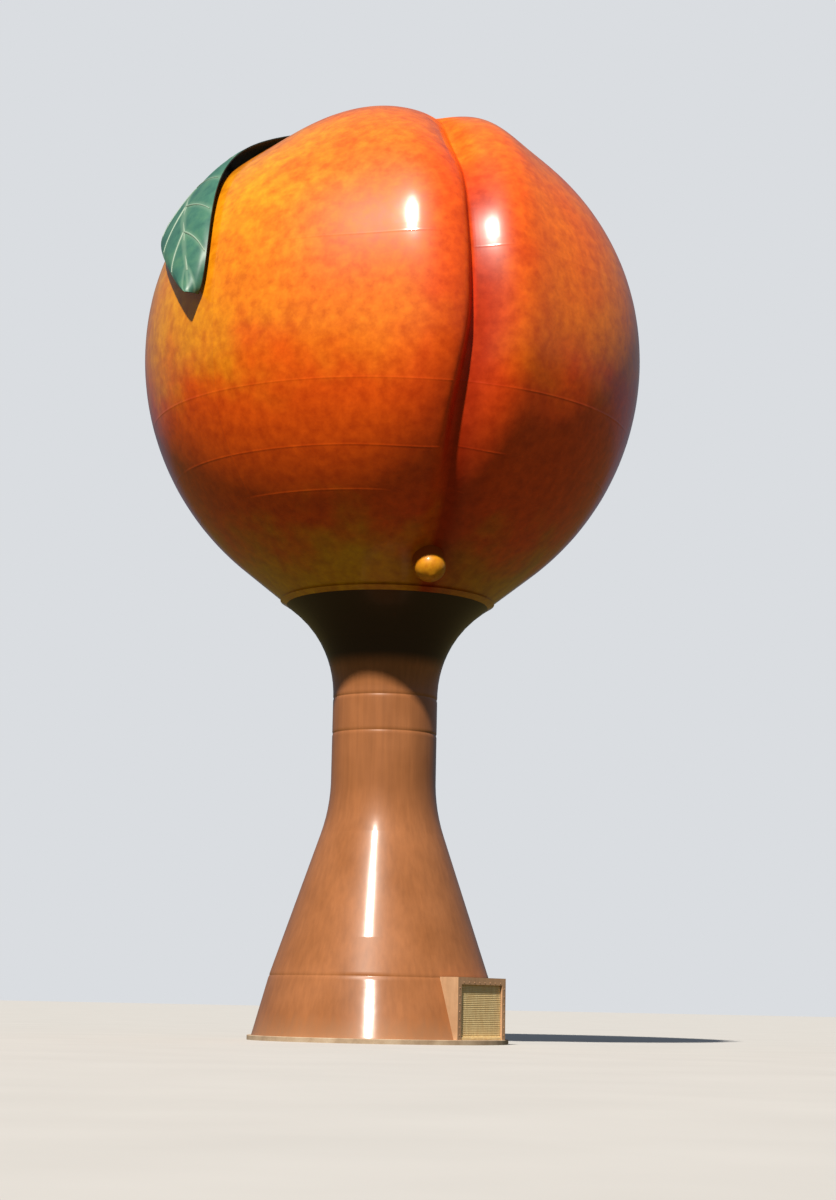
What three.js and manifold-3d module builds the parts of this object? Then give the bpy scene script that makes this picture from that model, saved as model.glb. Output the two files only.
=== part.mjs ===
// Water tower shaped like a peach: a welded steel tank on one flared steel pedestal.
//
// The real tower is about 41 m tall, so this is a 1:2 scale model of it. Every size below is the real
// one, in metres, and metres() turns it into model millimetres. The origin is on the pedestal's axis,
// on the underside of the floor slab. +Z is up. An azimuth is an angle about the axis that starts at
// -Y, the side with the cleft, and grows towards +X.

import * as THREE from 'three';
import { mergeVertices } from 'three/addons/utils/BufferGeometryUtils.js';
import Module from 'manifold-3d';

const wasm = await Module();
wasm.setup();

const { lerp, smoothstep, clamp, degToRad } = THREE.MathUtils;

const MODEL_SCALE = 1 / 2;
const metres = (real) => real * 1000 * MODEL_SCALE;

// Clearance between two plates that meet, in model millimetres.
const JOINT_GAP = 0.3;
const HALF_GAP = JOINT_GAP / 2;

// Tank: an upper arc about the tank's centre, and a longer lower arc that runs into the flare.
const TANK_RADIUS = metres(11.04);
const TANK_CENTRE_HEIGHT = metres(29.93);
const LOWER_ARC_RADIUS = metres(11.99);
const BELLY_ANGLE = degToRad(82.5);
const UNDERSIDE_ANGLE = degToRad(141.7);
const TANK_WALL = metres(0.08);
const CROWN_EDGE_ANGLE = degToRad(12);
const BELT_TOP_ANGLE = degToRad(62);
const BELT_BOTTOM_ANGLE = degToRad(107);
const GORES = 6;
const GORE_WIDTH = (2 * Math.PI) / GORES;
const GORE_ROWS = 6;
const PLAIN_GORE_COLUMNS = 7;
const CAVITY_RINGS = 4;

// Cleft: a valley between two ridges. It runs beside the plane through the axis at its azimuth, and
// its distance from that plane changes over four spans of height.
const CLEFT_AZIMUTH = degToRad(16.6);
const CLEFT_BENDS = [
  { from: metres(19), to: metres(24.5), by: metres(-0.25) },
  { from: metres(24.5), to: metres(29.5), by: metres(0.46) },
  { from: metres(33), to: metres(38.5), by: metres(0.31) },
  { from: metres(39), to: metres(41.5), by: metres(0.33) },
];
const CLEFT_ROOT = metres(0.12);
const CLEFT_REACH = 0.2;
const CLEFT_GORE_COLUMNS = 10;
const CLEFT_CROWDING = 1.8;
const GREATEST_BEND = 0.5;

// The cleft's depth and its ridges change from the tank's top to its belt, between two angles.
const TOP_TO_BELT = { from: degToRad(35), to: degToRad(70), least: 0 };
const CLEFT_DEPTH = { atTop: metres(1.05), atBelt: metres(0.53) };
const LEFT_RIDGE = {
  height: { atTop: metres(0.21), atBelt: metres(0.67) },
  distance: { atTop: metres(2.73), atBelt: metres(1.18) },
  width: { atTop: metres(2.18), atBelt: metres(2.33) },
  valley: { atTop: metres(0.7), atBelt: metres(1.03) },
  foot: metres(0.28),
};
const RIGHT_RIDGE = {
  height: { atTop: metres(0.37), atBelt: metres(0.43) },
  distance: { atTop: metres(1.95), atBelt: metres(1.95) },
  width: { atTop: metres(1.45), atBelt: metres(1.5) },
  valley: { atTop: metres(0.7), atBelt: metres(1.38) },
  foot: metres(1.07),
};
const SHOULDER_DIP = { depth: metres(0.2), distance: metres(-7.1), width: metres(1.8) };

// Where the cleft and its ridges grow and fade, as angles from straight up, and the least share there.
const CLEFT_GROWS = { from: degToRad(13.4), to: degToRad(51.4), least: 0.15 };
const CLEFT_FADES = { from: degToRad(95), to: degToRad(135), least: 0.15 };
const RIDGES_GROW = { from: degToRad(6), to: degToRad(20), least: 0 };
const RIDGES_FADE = { from: degToRad(100), to: degToRad(140), least: 0.1 };

// Stem cavity: a round hollow at the top, where the cleft starts.
const CAVITY_DEPTH = metres(1.3);
const CAVITY_RADIUS = metres(1.7);
const TOP_SIDE = { from: 0.4, to: 0.8 };

// Pedestal: base course, cone, concave foot arc, straight shaft and concave flare.
const BASE_RADIUS = metres(5.43);
const KINK_RADIUS = metres(4.7);
const KINK_HEIGHT = metres(2.7);
const CONE_SLOPE = degToRad(18.65);
const FOOT_ARC_RADIUS = metres(7.3);
const SHAFT_BOTTOM = metres(11.1);
const SHAFT_RADIUS = metres(2.27);
const SHAFT_SEAM_HEIGHT = metres(13.1);
const FLARE_SEAM_HEIGHT = metres(14.65);
const FLARE_MIDDLE_HEIGHT = metres(17.1);
const FLARE_ARC_RADIUS = metres(4.7);
const FLARE_SLOPE = UNDERSIDE_ANGLE - Math.PI / 2;
const PEDESTAL_WALL = metres(0.1);
const PEDESTAL_SIDES = 32;
const WALL_SEGMENTS = 4;

// Collar: the girder ring that carries the tank's gores and its floor.
const COLLAR_BOTTOM = metres(18.75);
const COLLAR_TOP = metres(18.95);
const COLLAR_STAND_OUT = metres(0.05);
const COLLAR_DEPTH = metres(0.5);
const FLOOR_PLATE = metres(0.1);
const FLOOR_SAG = metres(0.6);
const FLOOR_FLANGE = metres(0.3);
const FLOOR_RINGS = [0, 0.4, 0.75, 1];

// Concrete: a curb under the wall and a slab inside it.
const CURB_OUTER_RADIUS = metres(5.56);
const CURB_INNER_RADIUS = metres(5.05);
const CURB_HEIGHT = metres(0.2);
const SLAB_HEIGHT = metres(0.15);

// Portal: a flat front with a roller shutter, built out from the sloping base course.
const PORTAL_AZIMUTH = degToRad(55);
const PORTAL_FACE = metres(5.24);
const PORTAL_HALF_WIDTH = metres(1.83);
const PORTAL_TOP = metres(2.74);
const PORTAL_PLATE = metres(0.1);
const PORTAL_ROOF_PLATE = metres(0.12);
const PORTAL_SET_BACK = metres(0.02);
const PORTAL_ROOF_STEPS = 8;
const DOOR_HALF_WIDTH = metres(1.57);
const DOOR_TOP = metres(2.45);
const SHUTTER_HALF_WIDTH = metres(1.67);
const SHUTTER_PLATE = metres(0.06);
const SHUTTER_OVERLAP = metres(0.1);

// Blossom tip: a round stub with a domed and pointed cap, at the lower end of the cleft.
const TIP_AZIMUTH = degToRad(16.4);
const TIP_HEIGHT = metres(19.88);
const TIP_RADIUS = metres(0.66);
const TIP_SIDE = metres(0.5);
const TIP_CAP = metres(0.62);
const TIP_ROOT = metres(0.3);
const TIP_TURNS = [0.35, 0.7, 1.05, 1.35];
const TIP_POINT = metres(0.04);

// Stem, and the leaf that grows from it and lies over the tank's shoulder.
const STEM_RADIUS = metres(0.32);
const STEM_TOP = metres(41.15);
const STEM_ROOT = metres(0.4);
const STEM_ROOT_HEIGHT = metres(0.9);
const STEM_ROOT_SPREAD = 1.35;
const STEM_HEAD_SPREAD = 1.15;
const STEM_CHAMFER = metres(0.08);
const STALK_RADIUS = metres(0.16);
const STALK_DROP = metres(0.35);
const STALK_ARCH = metres(0.15);
const STALK_RUN = metres(0.5);
const LEAF_START_ANGLE = degToRad(6.7);
const LEAF_END_ANGLE = degToRad(87.5);
const LEAF_AZIMUTHS = [-159.5, -93.9, -53.4, -47].map(degToRad);
const LEAF_HALF_WIDTH = metres(2.47);
const LEAF_PLATE = metres(0.1);
const LEAF_STAND_OFF = metres(0.34);
const LEAF_TIP_LIFT = metres(0.16);
const LEAF_TILTS = [-0.415, 0.123, -0.262].map(metres);
const LEAF_CURLS = [0.2, -0.1].map(metres);
const LEAF_END_HALF_WIDTH = metres(0.08);
const LEAF_SKEW = 0.73;
const LEAF_FULLNESS = 0.68;
const LEAF_RISE = { from: -0.1, to: 0.25, least: -0.1 };
const LEAF_TIP_PLACE = 0.6;
const LEAF_STEP = 0.01;
const LEAF_ROWS = 16;
const LEAF_COLUMNS = 4;
const MIDRIB_HALF_WIDTH = metres(0.14);
const MIDRIB_HEIGHT = metres(0.06);
const MIDRIB_THINNING = 0.6;
const MIDRIB_LARGEST_SHARE = 0.8;
const MIDRIB_TOP_SHARE = 0.5;
const BRACKET_RADIUS = metres(0.11);
const BRACKET_PLACES = { upper: 0.42, lower: 0.76 };

// Cutters: how thick a shell is made to cut what rests on it, and half the strip that fills its joints.
const CUTTER_WALL = metres(0.6);
const CUTTER_SEAM = metres(0.03);
const SMALL_SIDES = { tip: 16, stem: 12, stalk: 10, bracket: 10 };

const materials = {
  peach: new THREE.MeshStandardMaterial({ color: 0xf07a28, roughness: 0.35, metalness: 0 }),
  brown: new THREE.MeshStandardMaterial({ color: 0xa8663c, roughness: 0.35, metalness: 0 }),
  tan: new THREE.MeshStandardMaterial({ color: 0xbe9173, roughness: 0.45, metalness: 0 }),
  green: new THREE.MeshStandardMaterial({ color: 0x5aa578, roughness: 0.45, metalness: 0 }),
  midrib: new THREE.MeshStandardMaterial({ color: 0x9cc4a6, roughness: 0.45, metalness: 0 }),
  stem: new THREE.MeshStandardMaterial({ color: 0x5c4023, roughness: 0.6, metalness: 0 }),
  yellow: new THREE.MeshStandardMaterial({ color: 0xe8a81e, roughness: 0.35, metalness: 0 }),
  concrete: new THREE.MeshStandardMaterial({ color: 0xb9a58c, roughness: 0.9, metalness: 0 }),
};

const tower = new THREE.Group();

function addMesh(name, geometry, material) {
  geometry.computeVertexNormals();
  const mesh = new THREE.Mesh(geometry, material);
  mesh.name = name;
  tower.add(mesh);
  return mesh;
}

// A point at a radius and a height, turned about the axis to an azimuth.
function onAxis(radius, azimuth, height) {
  return new THREE.Vector3(radius * Math.sin(azimuth), -radius * Math.cos(azimuth), height);
}

// Join the corners that a geometry's faces share, so that it is one closed surface.
function weld(geometry) {
  geometry.deleteAttribute('normal');
  geometry.deleteAttribute('uv');
  return mergeVertices(geometry, 1e-3);
}

function toSolid(geometry) {
  return new wasm.Manifold(new wasm.Mesh({
    numProp: 3,
    vertProperties: Float32Array.from(geometry.attributes.position.array),
    triVerts: Uint32Array.from(geometry.index.array),
  }));
}

function fromSolid(solid) {
  const mesh = solid.getMesh();
  const geometry = new THREE.BufferGeometry();
  geometry.setAttribute('position', new THREE.BufferAttribute(mesh.vertProperties, 3));
  geometry.setIndex(new THREE.BufferAttribute(mesh.triVerts, 1));
  return geometry;
}

// A plate bent from a unit box: shape() gets how far each corner is across, up and out, from 0 to 1.
function bentPlate(columns, rows, shape) {
  const geometry = weld(new THREE.BoxGeometry(1, 1, 1, columns, rows, 1));
  const corners = geometry.attributes.position;
  for (let i = 0; i < corners.count; i += 1) {
    const place = shape(corners.getX(i) + 0.5, corners.getY(i) + 0.5, corners.getZ(i) + 0.5);
    corners.setXYZ(i, place.x, place.y, place.z);
  }
  return geometry;
}

// A ring or disc turned about the axis. Its profile runs up the outside and down the inside.
function turned(profile, sides = PEDESTAL_SIDES) {
  const points = profile.map(([radius, height]) => new THREE.Vector2(radius, height));
  return weld(new THREE.LatheGeometry(points, sides)).rotateX(Math.PI / 2);
}

// Where the lower arc starts and ends, and where the flare's arc runs out into a straight cone.
const lowerArcCentre = {
  radius: (TANK_RADIUS - LOWER_ARC_RADIUS) * Math.sin(BELLY_ANGLE),
  height: TANK_CENTRE_HEIGHT + (TANK_RADIUS - LOWER_ARC_RADIUS) * Math.cos(BELLY_ANGLE),
};
const lowerArcEnd = {
  radius: lowerArcCentre.radius + LOWER_ARC_RADIUS * Math.sin(UNDERSIDE_ANGLE),
  height: lowerArcCentre.height + LOWER_ARC_RADIUS * Math.cos(UNDERSIDE_ANGLE),
};
const flareEndRadius = SHAFT_RADIUS + FLARE_ARC_RADIUS * (1 - Math.cos(FLARE_SLOPE));
const flareEndHeight = lowerArcEnd.height - (lowerArcEnd.radius - flareEndRadius) / Math.tan(FLARE_SLOPE);
const shaftTop = flareEndHeight - FLARE_ARC_RADIUS * Math.sin(FLARE_SLOPE);
const coneEnd = {
  radius: SHAFT_RADIUS + FOOT_ARC_RADIUS * (1 - Math.cos(CONE_SLOPE)),
  height: SHAFT_BOTTOM - FOOT_ARC_RADIUS * Math.sin(CONE_SLOPE),
};

// The pedestal's outer radius at a height.
function pedestalRadius(height) {
  if (height < KINK_HEIGHT) {
    return lerp(BASE_RADIUS, KINK_RADIUS, height / KINK_HEIGHT);
  }
  if (height < coneEnd.height) {
    const rise = (height - KINK_HEIGHT) / (coneEnd.height - KINK_HEIGHT);
    return lerp(KINK_RADIUS, coneEnd.radius, rise);
  }
  if (height < SHAFT_BOTTOM) {
    const drop = SHAFT_BOTTOM - height;
    return SHAFT_RADIUS + FOOT_ARC_RADIUS - Math.sqrt(FOOT_ARC_RADIUS ** 2 - drop ** 2);
  }
  if (height < shaftTop) {
    return SHAFT_RADIUS;
  }
  if (height < flareEndHeight) {
    const rise = height - shaftTop;
    return SHAFT_RADIUS + FLARE_ARC_RADIUS - Math.sqrt(FLARE_ARC_RADIUS ** 2 - rise ** 2);
  }
  return flareEndRadius + (height - flareEndHeight) * Math.tan(FLARE_SLOPE);
}

// The level distance through the pedestal's wall, which is greater where the wall slopes.
function pedestalWallAcross(height) {
  const slope = (pedestalRadius(height + 1) - pedestalRadius(height - 1)) / 2;
  return PEDESTAL_WALL * Math.hypot(1, slope);
}

// One course of the pedestal as a whole ring.
function pedestalRing(bottom, top, steps) {
  const heights = [];
  for (let i = 0; i <= steps; i += 1) {
    heights.push(lerp(bottom + HALF_GAP, top - HALF_GAP, i / steps));
  }
  const outside = heights.map((height) => [pedestalRadius(height), height]);
  const inside = heights.map((height) => [pedestalRadius(height) - pedestalWallAcross(height), height]);
  return turned([...outside, ...inside.reverse(), outside[0]]);
}

// Part of a course, between two azimuths that may change with the radius.
function wallSegment(bottom, top, rows, columns, startAt, endAt) {
  return bentPlate(columns, rows, (across, up, out) => {
    const height = lerp(bottom + HALF_GAP, top - HALF_GAP, up);
    const radius = pedestalRadius(height) - pedestalWallAcross(height) * (1 - out);
    const gap = HALF_GAP / radius;
    return onAxis(radius, lerp(startAt(radius) + gap, endAt(radius) - gap, across), height);
  });
}

// Distances along the tank's outline, measured from the pole.
const bellyDistance = TANK_RADIUS * BELLY_ANGLE;
const undersideDistance = bellyDistance + LOWER_ARC_RADIUS * (UNDERSIDE_ANGLE - BELLY_ANGLE);
const collarDistance = undersideDistance + (lowerArcEnd.height - COLLAR_TOP) / Math.cos(FLARE_SLOPE);

function distanceAt(angle) {
  if (angle < BELLY_ANGLE) {
    return TANK_RADIUS * angle;
  }
  return bellyDistance + LOWER_ARC_RADIUS * (angle - BELLY_ANGLE);
}

// The smooth outline of the tank: radius, height and the angle of its normal from straight up.
function tankOutline(distance) {
  if (distance < bellyDistance) {
    const angle = distance / TANK_RADIUS;
    return {
      angle,
      radius: TANK_RADIUS * Math.sin(angle),
      height: TANK_CENTRE_HEIGHT + TANK_RADIUS * Math.cos(angle),
    };
  }
  if (distance < undersideDistance) {
    const angle = BELLY_ANGLE + (distance - bellyDistance) / LOWER_ARC_RADIUS;
    return {
      angle,
      radius: lowerArcCentre.radius + LOWER_ARC_RADIUS * Math.sin(angle),
      height: lowerArcCentre.height + LOWER_ARC_RADIUS * Math.cos(angle),
    };
  }
  const past = distance - undersideDistance;
  return {
    angle: UNDERSIDE_ANGLE,
    radius: lowerArcEnd.radius - past * Math.sin(FLARE_SLOPE),
    height: lowerArcEnd.height - past * Math.cos(FLARE_SLOPE),
  };
}

const tankCentre = new THREE.Vector3(0, 0, TANK_CENTRE_HEIGHT);
const acrossCleft = new THREE.Vector3(Math.cos(CLEFT_AZIMUTH), Math.sin(CLEFT_AZIMUTH), 0);
const cleftFacing = onAxis(1, CLEFT_AZIMUTH, 0);
const cavityCentre = acrossCleft.clone().setLength(cleftShift(Infinity));

// How far to the side the cleft is at a height, measured along acrossCleft.
function cleftShift(height) {
  return CLEFT_BENDS.reduce((shift, { from, to, by }) => shift + by * smoothstep(height, from, to), 0);
}

const grown = (place, span) => lerp(span.least, 1, smoothstep(place, span.from, span.to));
const faded = (place, span) => lerp(1, span.least, smoothstep(place, span.from, span.to));
const bump = (offset, width) => Math.exp(-((offset / width) ** 2));
const between = (size, belt) => lerp(size.atTop, size.atBelt, belt);

// The height of a ridge at a distance from the cleft's plane. At the belt its foot is in the crease.
function ridgeHeight(ridge, apart, belt) {
  const crest = bump(apart - between(ridge.distance, belt), between(ridge.width, belt));
  return between(ridge.height, belt) * crest * (1 - belt * bump(apart, ridge.foot));
}

// How far the skin stands out from the smooth outline at a point: ridges out, cleft and cavity in.
function relief(point, angle) {
  const fromPlane = acrossCleft.dot(point) - cleftShift(point.z);
  const apart = Math.abs(fromPlane);
  const rounded = Math.hypot(apart, CLEFT_ROOT) - CLEFT_ROOT;
  const belt = grown(angle, TOP_TO_BELT);
  const ridge = fromPlane < 0 ? LEFT_RIDGE : RIGHT_RIDGE;
  const cleft = between(CLEFT_DEPTH, belt) * grown(angle, CLEFT_GROWS) * faded(angle, CLEFT_FADES)
    * Math.exp(-rounded / between(ridge.valley, belt));
  const crest = grown(angle, RIDGES_GROW) * faded(angle, RIDGES_FADE) * ridgeHeight(ridge, apart, belt);
  const cleftSide = smoothstep(cleftFacing.dot(point) / TANK_RADIUS, 0, CLEFT_REACH);
  const fromStem = Math.hypot(point.x - cavityCentre.x, point.y - cavityCentre.y);
  const cavity = CAVITY_DEPTH * bump(fromStem, CAVITY_RADIUS);
  const dip = SHOULDER_DIP.depth * bump(fromPlane - SHOULDER_DIP.distance, SHOULDER_DIP.width);
  const topSide = smoothstep(Math.cos(angle), TOP_SIDE.from, TOP_SIDE.to);
  return cleftSide * (crest - cleft) - topSide * (cavity + dip);
}

// The azimuth of a column of the tank. Columns near the cleft bend with it, those behind are straight.
function columnAzimuth(column, outline) {
  const reach = Math.max(outline.radius, TANK_RADIUS * Math.sin(CROWN_EDGE_ANGLE));
  const bend = Math.asin(clamp(cleftShift(outline.height) / reach, -GREATEST_BEND, GREATEST_BEND));
  return CLEFT_AZIMUTH + column + bend * Math.cos(column / 2) ** 2;
}

// A point of the tank's shell, at a depth behind its skin. Near the collar the wall's edge is level.
function tankPoint(column, distance, depth) {
  const outline = tankOutline(distance);
  const azimuth = columnAzimuth(column, outline);
  const point = onAxis(outline.radius, azimuth, outline.height);
  const outward = onAxis(Math.sin(outline.angle), azimuth, Math.cos(outline.angle));
  const level = onAxis(1 / Math.sin(Math.max(outline.angle, BELLY_ANGLE)), azimuth, 0);
  const nearCollar = smoothstep(distance, undersideDistance, collarDistance - JOINT_GAP);
  point.addScaledVector(outward, relief(point, outline.angle) * (1 - nearCollar));
  return point.addScaledVector(outward.lerp(level, nearCollar), -depth);
}

// Column edges of each gore: close together at the cleft, and even on the gores away from it.
function goreColumn(gore, across) {
  if (gore === 0) {
    return GORE_WIDTH * across ** CLEFT_CROWDING;
  }
  if (gore === GORES - 1) {
    return -GORE_WIDTH * (1 - across) ** CLEFT_CROWDING;
  }
  return GORE_WIDTH * (gore + across);
}

const goreColumns = (gore) => (gore === 0 || gore === GORES - 1 ? CLEFT_GORE_COLUMNS : PLAIN_GORE_COLUMNS);

// One plate of the tank: a gore's width, between two distances from the pole.
function tankPlate(gore, topDistance, bottomDistance, wall = TANK_WALL) {
  return bentPlate(goreColumns(gore), GORE_ROWS, (across, up, out) => {
    const distance = lerp(bottomDistance - HALF_GAP, topDistance + HALF_GAP, up);
    const edge = (across < 1e-6 ? HALF_GAP : 0) - (across > 1 - 1e-6 ? HALF_GAP : 0);
    const column = goreColumn(gore, across) + edge / tankOutline(distance).radius;
    return tankPoint(column, distance, wall * (1 - out));
  });
}

// A strip that fills the joint beside a gore, with a little of the plates on both sides of it.
function seamStrip(gore, topDistance, bottomDistance, wall) {
  return bentPlate(1, GORE_ROWS, (across, up, out) => {
    const distance = lerp(bottomDistance - HALF_GAP, topDistance + HALF_GAP, up);
    const aside = lerp(-CUTTER_SEAM, CUTTER_SEAM, across) / tankOutline(distance).radius;
    return tankPoint(goreColumn(gore, 0) + aside, distance, wall * (1 - out));
  });
}

// The crown: a flat disc with the gores' columns, bent into the hollow that the stem stands in.
function stemCavity(wall = TANK_WALL) {
  const edge = distanceAt(CROWN_EDGE_ANGLE) - HALF_GAP;
  const columns = [];
  for (let gore = 0; gore < GORES; gore += 1) {
    for (let i = 0; i < goreColumns(gore); i += 1) {
      columns.push(goreColumn(gore, i / goreColumns(gore)));
    }
  }
  const under = [];
  for (let i = 0; i <= CAVITY_RINGS; i += 1) {
    under.push([edge * (i / CAVITY_RINGS), 0]);
  }
  const over = under.map(([distance]) => [distance, 1]).reverse();
  const geometry = turned([...under, ...over], columns.length);
  const corners = geometry.attributes.position;
  for (let i = 0; i < corners.count; i += 1) {
    const turn = Math.atan2(corners.getX(i), -corners.getY(i)) / (2 * Math.PI);
    const index = Math.round((turn + 1) * columns.length) % columns.length;
    const distance = Math.hypot(corners.getX(i), corners.getY(i));
    const place = tankPoint(columns[index], distance, wall * (1 - corners.getZ(i)));
    corners.setXYZ(i, place.x, place.y, place.z);
  }
  return geometry;
}

// A value on the smooth curve that a few guide values draw, at a place from 0 to 1.
function onCurve(guides, place) {
  if (guides.length === 1) {
    return guides[0];
  }
  return onCurve(guides.slice(1).map((guide, i) => lerp(guides[i], guide, place)), place);
}

// The leaf's midrib at a place from 0 at the stem to 1 at the tip, as a direction from the tank's centre.
function leafDirection(place) {
  const azimuth = onCurve(LEAF_AZIMUTHS, place);
  const angle = lerp(LEAF_START_ANGLE, LEAF_END_ANGLE, place);
  return onAxis(Math.sin(angle), azimuth, Math.cos(angle));
}

// Half the leaf's width: narrow at the stem, full in the middle and pointed at the tip.
function leafHalfWidth(place) {
  const swell = Math.max(Math.sin(Math.PI * clamp(place, 0, 1) ** LEAF_SKEW), 0) ** LEAF_FULLNESS;
  return lerp(LEAF_END_HALF_WIDTH, LEAF_HALF_WIDTH, swell);
}

// How far the leaf's underside is above the tank. It tilts and curls across its width, and lifts at the tip.
function leafStandOff(place, across) {
  const twist = onCurve(LEAF_TILTS, place) * across + onCurve(LEAF_CURLS, place) * across ** 2;
  return LEAF_STAND_OFF * grown(place, LEAF_RISE) + LEAF_TIP_LIFT * smoothstep(place, LEAF_TIP_PLACE, 1)
    + twist * smoothstep(place, LEAF_RISE.from, LEAF_RISE.to);
}

// A point of the leaf. Across runs from -1 to 1 over its width, and out is a distance above its underside.
function leafPoint(place, across, out) {
  const middle = leafDirection(place);
  const along = leafDirection(place + LEAF_STEP).sub(leafDirection(place - LEAF_STEP));
  const sideways = middle.clone().cross(along).normalize();
  const turn = (across * leafHalfWidth(place)) / TANK_RADIUS;
  const direction = middle.multiplyScalar(Math.cos(turn)).addScaledVector(sideways, Math.sin(turn));
  return direction.multiplyScalar(TANK_RADIUS + leafStandOff(place, across) + out).add(tankCentre);
}

// The blade. With headroom it is thickened outwards, to cut what stands under it.
function leafBlade(headroom = 0) {
  return bentPlate(LEAF_COLUMNS, LEAF_ROWS, (across, up, out) => (
    leafPoint(1 - up, 2 * across - 1, (LEAF_PLATE + headroom) * out)
  ));
}

// The midrib: a bar that lies along the blade's middle, from the second row to the last but one, and
// grows thinner. It is drawn sunk into the blade, and the blade then cuts it.
function leafMidrib() {
  const rows = LEAF_ROWS - 2;
  const bar = bentPlate(2, rows, (across, up, out) => {
    const place = (1 + (1 - up) * rows) / LEAF_ROWS;
    const thin = 1 - MIDRIB_THINNING * place;
    const width = Math.min(MIDRIB_HALF_WIDTH * thin / leafHalfWidth(place), MIDRIB_LARGEST_SHARE);
    const taper = lerp(1, MIDRIB_TOP_SHARE, out);
    const height = lerp(-LEAF_PLATE / 2, MIDRIB_HEIGHT * thin, out);
    return leafPoint(place, (2 * across - 1) * width * taper, LEAF_PLATE + height);
  });
  return fromSolid(toSolid(bar).subtract(toSolid(leafBlade(JOINT_GAP))));
}

// Each plate of the tank, by its course's name and its gore's number.
const courses = [
  ['tank_crown_gore', distanceAt(CROWN_EDGE_ANGLE), distanceAt(BELT_TOP_ANGLE)],
  ['tank_belt_gore', distanceAt(BELT_TOP_ANGLE), distanceAt(BELT_BOTTOM_ANGLE)],
  ['tank_lower_gore', distanceAt(BELT_BOTTOM_ANGLE), collarDistance],
];

// The tank with a very thick wall and filled joints, moved out by the joint gap, cuts what rests on it.
function cutByTank(solid, outward) {
  const shift = outward.clone().setLength(JOINT_GAP);
  const cutters = [stemCavity(CUTTER_WALL)];
  for (const [, top, bottom] of courses) {
    for (let gore = 0; gore < GORES; gore += 1) {
      cutters.push(tankPlate(gore, top, bottom, CUTTER_WALL));
      cutters.push(seamStrip(gore, top, bottom, CUTTER_WALL));
    }
  }
  return cutters.reduce(
    (left, cutter) => left.subtract(toSolid(cutter.translate(shift.x, shift.y, shift.z))),
    solid,
  );
}

// Turn a geometry's +Z to a direction and move its origin to a point.
function stand(geometry, direction, place) {
  const turn = new THREE.Quaternion().setFromUnitVectors(new THREE.Vector3(0, 0, 1), direction);
  return geometry.applyQuaternion(turn).translate(place.x, place.y, place.z);
}

// The blossom tip: a round stub with a domed cap that stands on the lower gores at the cleft's end.
function blossomTip() {
  const profile = [[0, -TIP_ROOT], [TIP_RADIUS, -TIP_ROOT], [TIP_RADIUS, TIP_SIDE]];
  for (const turn of TIP_TURNS) {
    profile.push([TIP_RADIUS * Math.cos(turn), TIP_SIDE + TIP_CAP * Math.sin(turn)]);
  }
  profile.push([0, TIP_SIDE + TIP_CAP + TIP_POINT]);
  const distance = collarDistance - (TIP_HEIGHT - COLLAR_TOP) / Math.cos(FLARE_SLOPE);
  const outline = tankOutline(distance);
  const outward = onAxis(Math.sin(outline.angle), TIP_AZIMUTH, Math.cos(outline.angle));
  const place = onAxis(outline.radius, TIP_AZIMUTH, outline.height);
  const tip = toSolid(stand(turned(profile, SMALL_SIDES.tip), outward, place));
  return fromSolid(cutByTank(tip, outward));
}

// The woody stem: a stub with a flared root and a cut top, standing in the cavity.
const stemRoot = TANK_CENTRE_HEIGHT + TANK_RADIUS - CAVITY_DEPTH - STEM_ROOT;

function stemSolid(extra = 0) {
  const profile = [
    [0, stemRoot],
    [STEM_RADIUS * STEM_ROOT_SPREAD + extra, stemRoot],
    [STEM_RADIUS + extra, stemRoot + STEM_ROOT_HEIGHT],
    [STEM_RADIUS * STEM_HEAD_SPREAD + extra, STEM_TOP - STEM_CHAMFER],
    [STEM_RADIUS + extra, STEM_TOP + extra],
    [0, STEM_TOP + extra],
  ];
  return toSolid(turned(profile, SMALL_SIDES.stem).translate(cavityCentre.x, cavityCentre.y, 0));
}

// The leaf's stalk: a round bar that curves from the side of the stem to the leaf's narrow end.
function leafStalk() {
  const leafEnd = leafPoint(0, 0, LEAF_PLATE / 2);
  const leafWay = leafDirection(LEAF_STEP).sub(leafDirection(-LEAF_STEP)).normalize();
  const fromStem = new THREE.Vector3(cavityCentre.x, cavityCentre.y, leafEnd.z - STALK_DROP);
  const path = new THREE.CubicBezierCurve3(
    fromStem,
    fromStem.clone().lerp(leafEnd, 1 / 3).add(new THREE.Vector3(0, 0, STALK_ARCH)),
    leafEnd.clone().addScaledVector(leafWay, -STALK_RUN),
    leafEnd.clone().addScaledVector(leafWay, -2 * JOINT_GAP),
  );
  const section = new THREE.Shape().absarc(0, 0, STALK_RADIUS, 0, 2 * Math.PI, false);
  const bar = new THREE.ExtrudeGeometry(section, {
    steps: 6, curveSegments: SMALL_SIDES.stalk, bevelEnabled: false, extrudePath: path,
  });
  return fromSolid(toSolid(weld(bar)).subtract(stemSolid(JOINT_GAP)));
}

// A bracket: a short post that stands on the tank's skin and carries the leaf's underside.
function leafBracket(place) {
  const direction = leafDirection(place);
  const onSkin = direction.clone().setLength(TANK_RADIUS).add(tankCentre);
  const angle = lerp(LEAF_START_ANGLE, LEAF_END_ANGLE, place);
  const foot = TANK_RADIUS + relief(onSkin, angle) - TANK_WALL * 2;
  const head = TANK_RADIUS + leafStandOff(place, 0) + LEAF_PLATE;
  const profile = [[0, foot], [BRACKET_RADIUS, foot], [BRACKET_RADIUS, head], [0, head]];
  const post = toSolid(stand(turned(profile, SMALL_SIDES.bracket), direction, tankCentre));
  const leafBehind = leafBlade(CUTTER_WALL);
  leafBehind.translate(-direction.x * JOINT_GAP, -direction.y * JOINT_GAP, -direction.z * JOINT_GAP);
  return fromSolid(cutByTank(post.subtract(toSolid(leafBehind)), direction));
}

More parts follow.
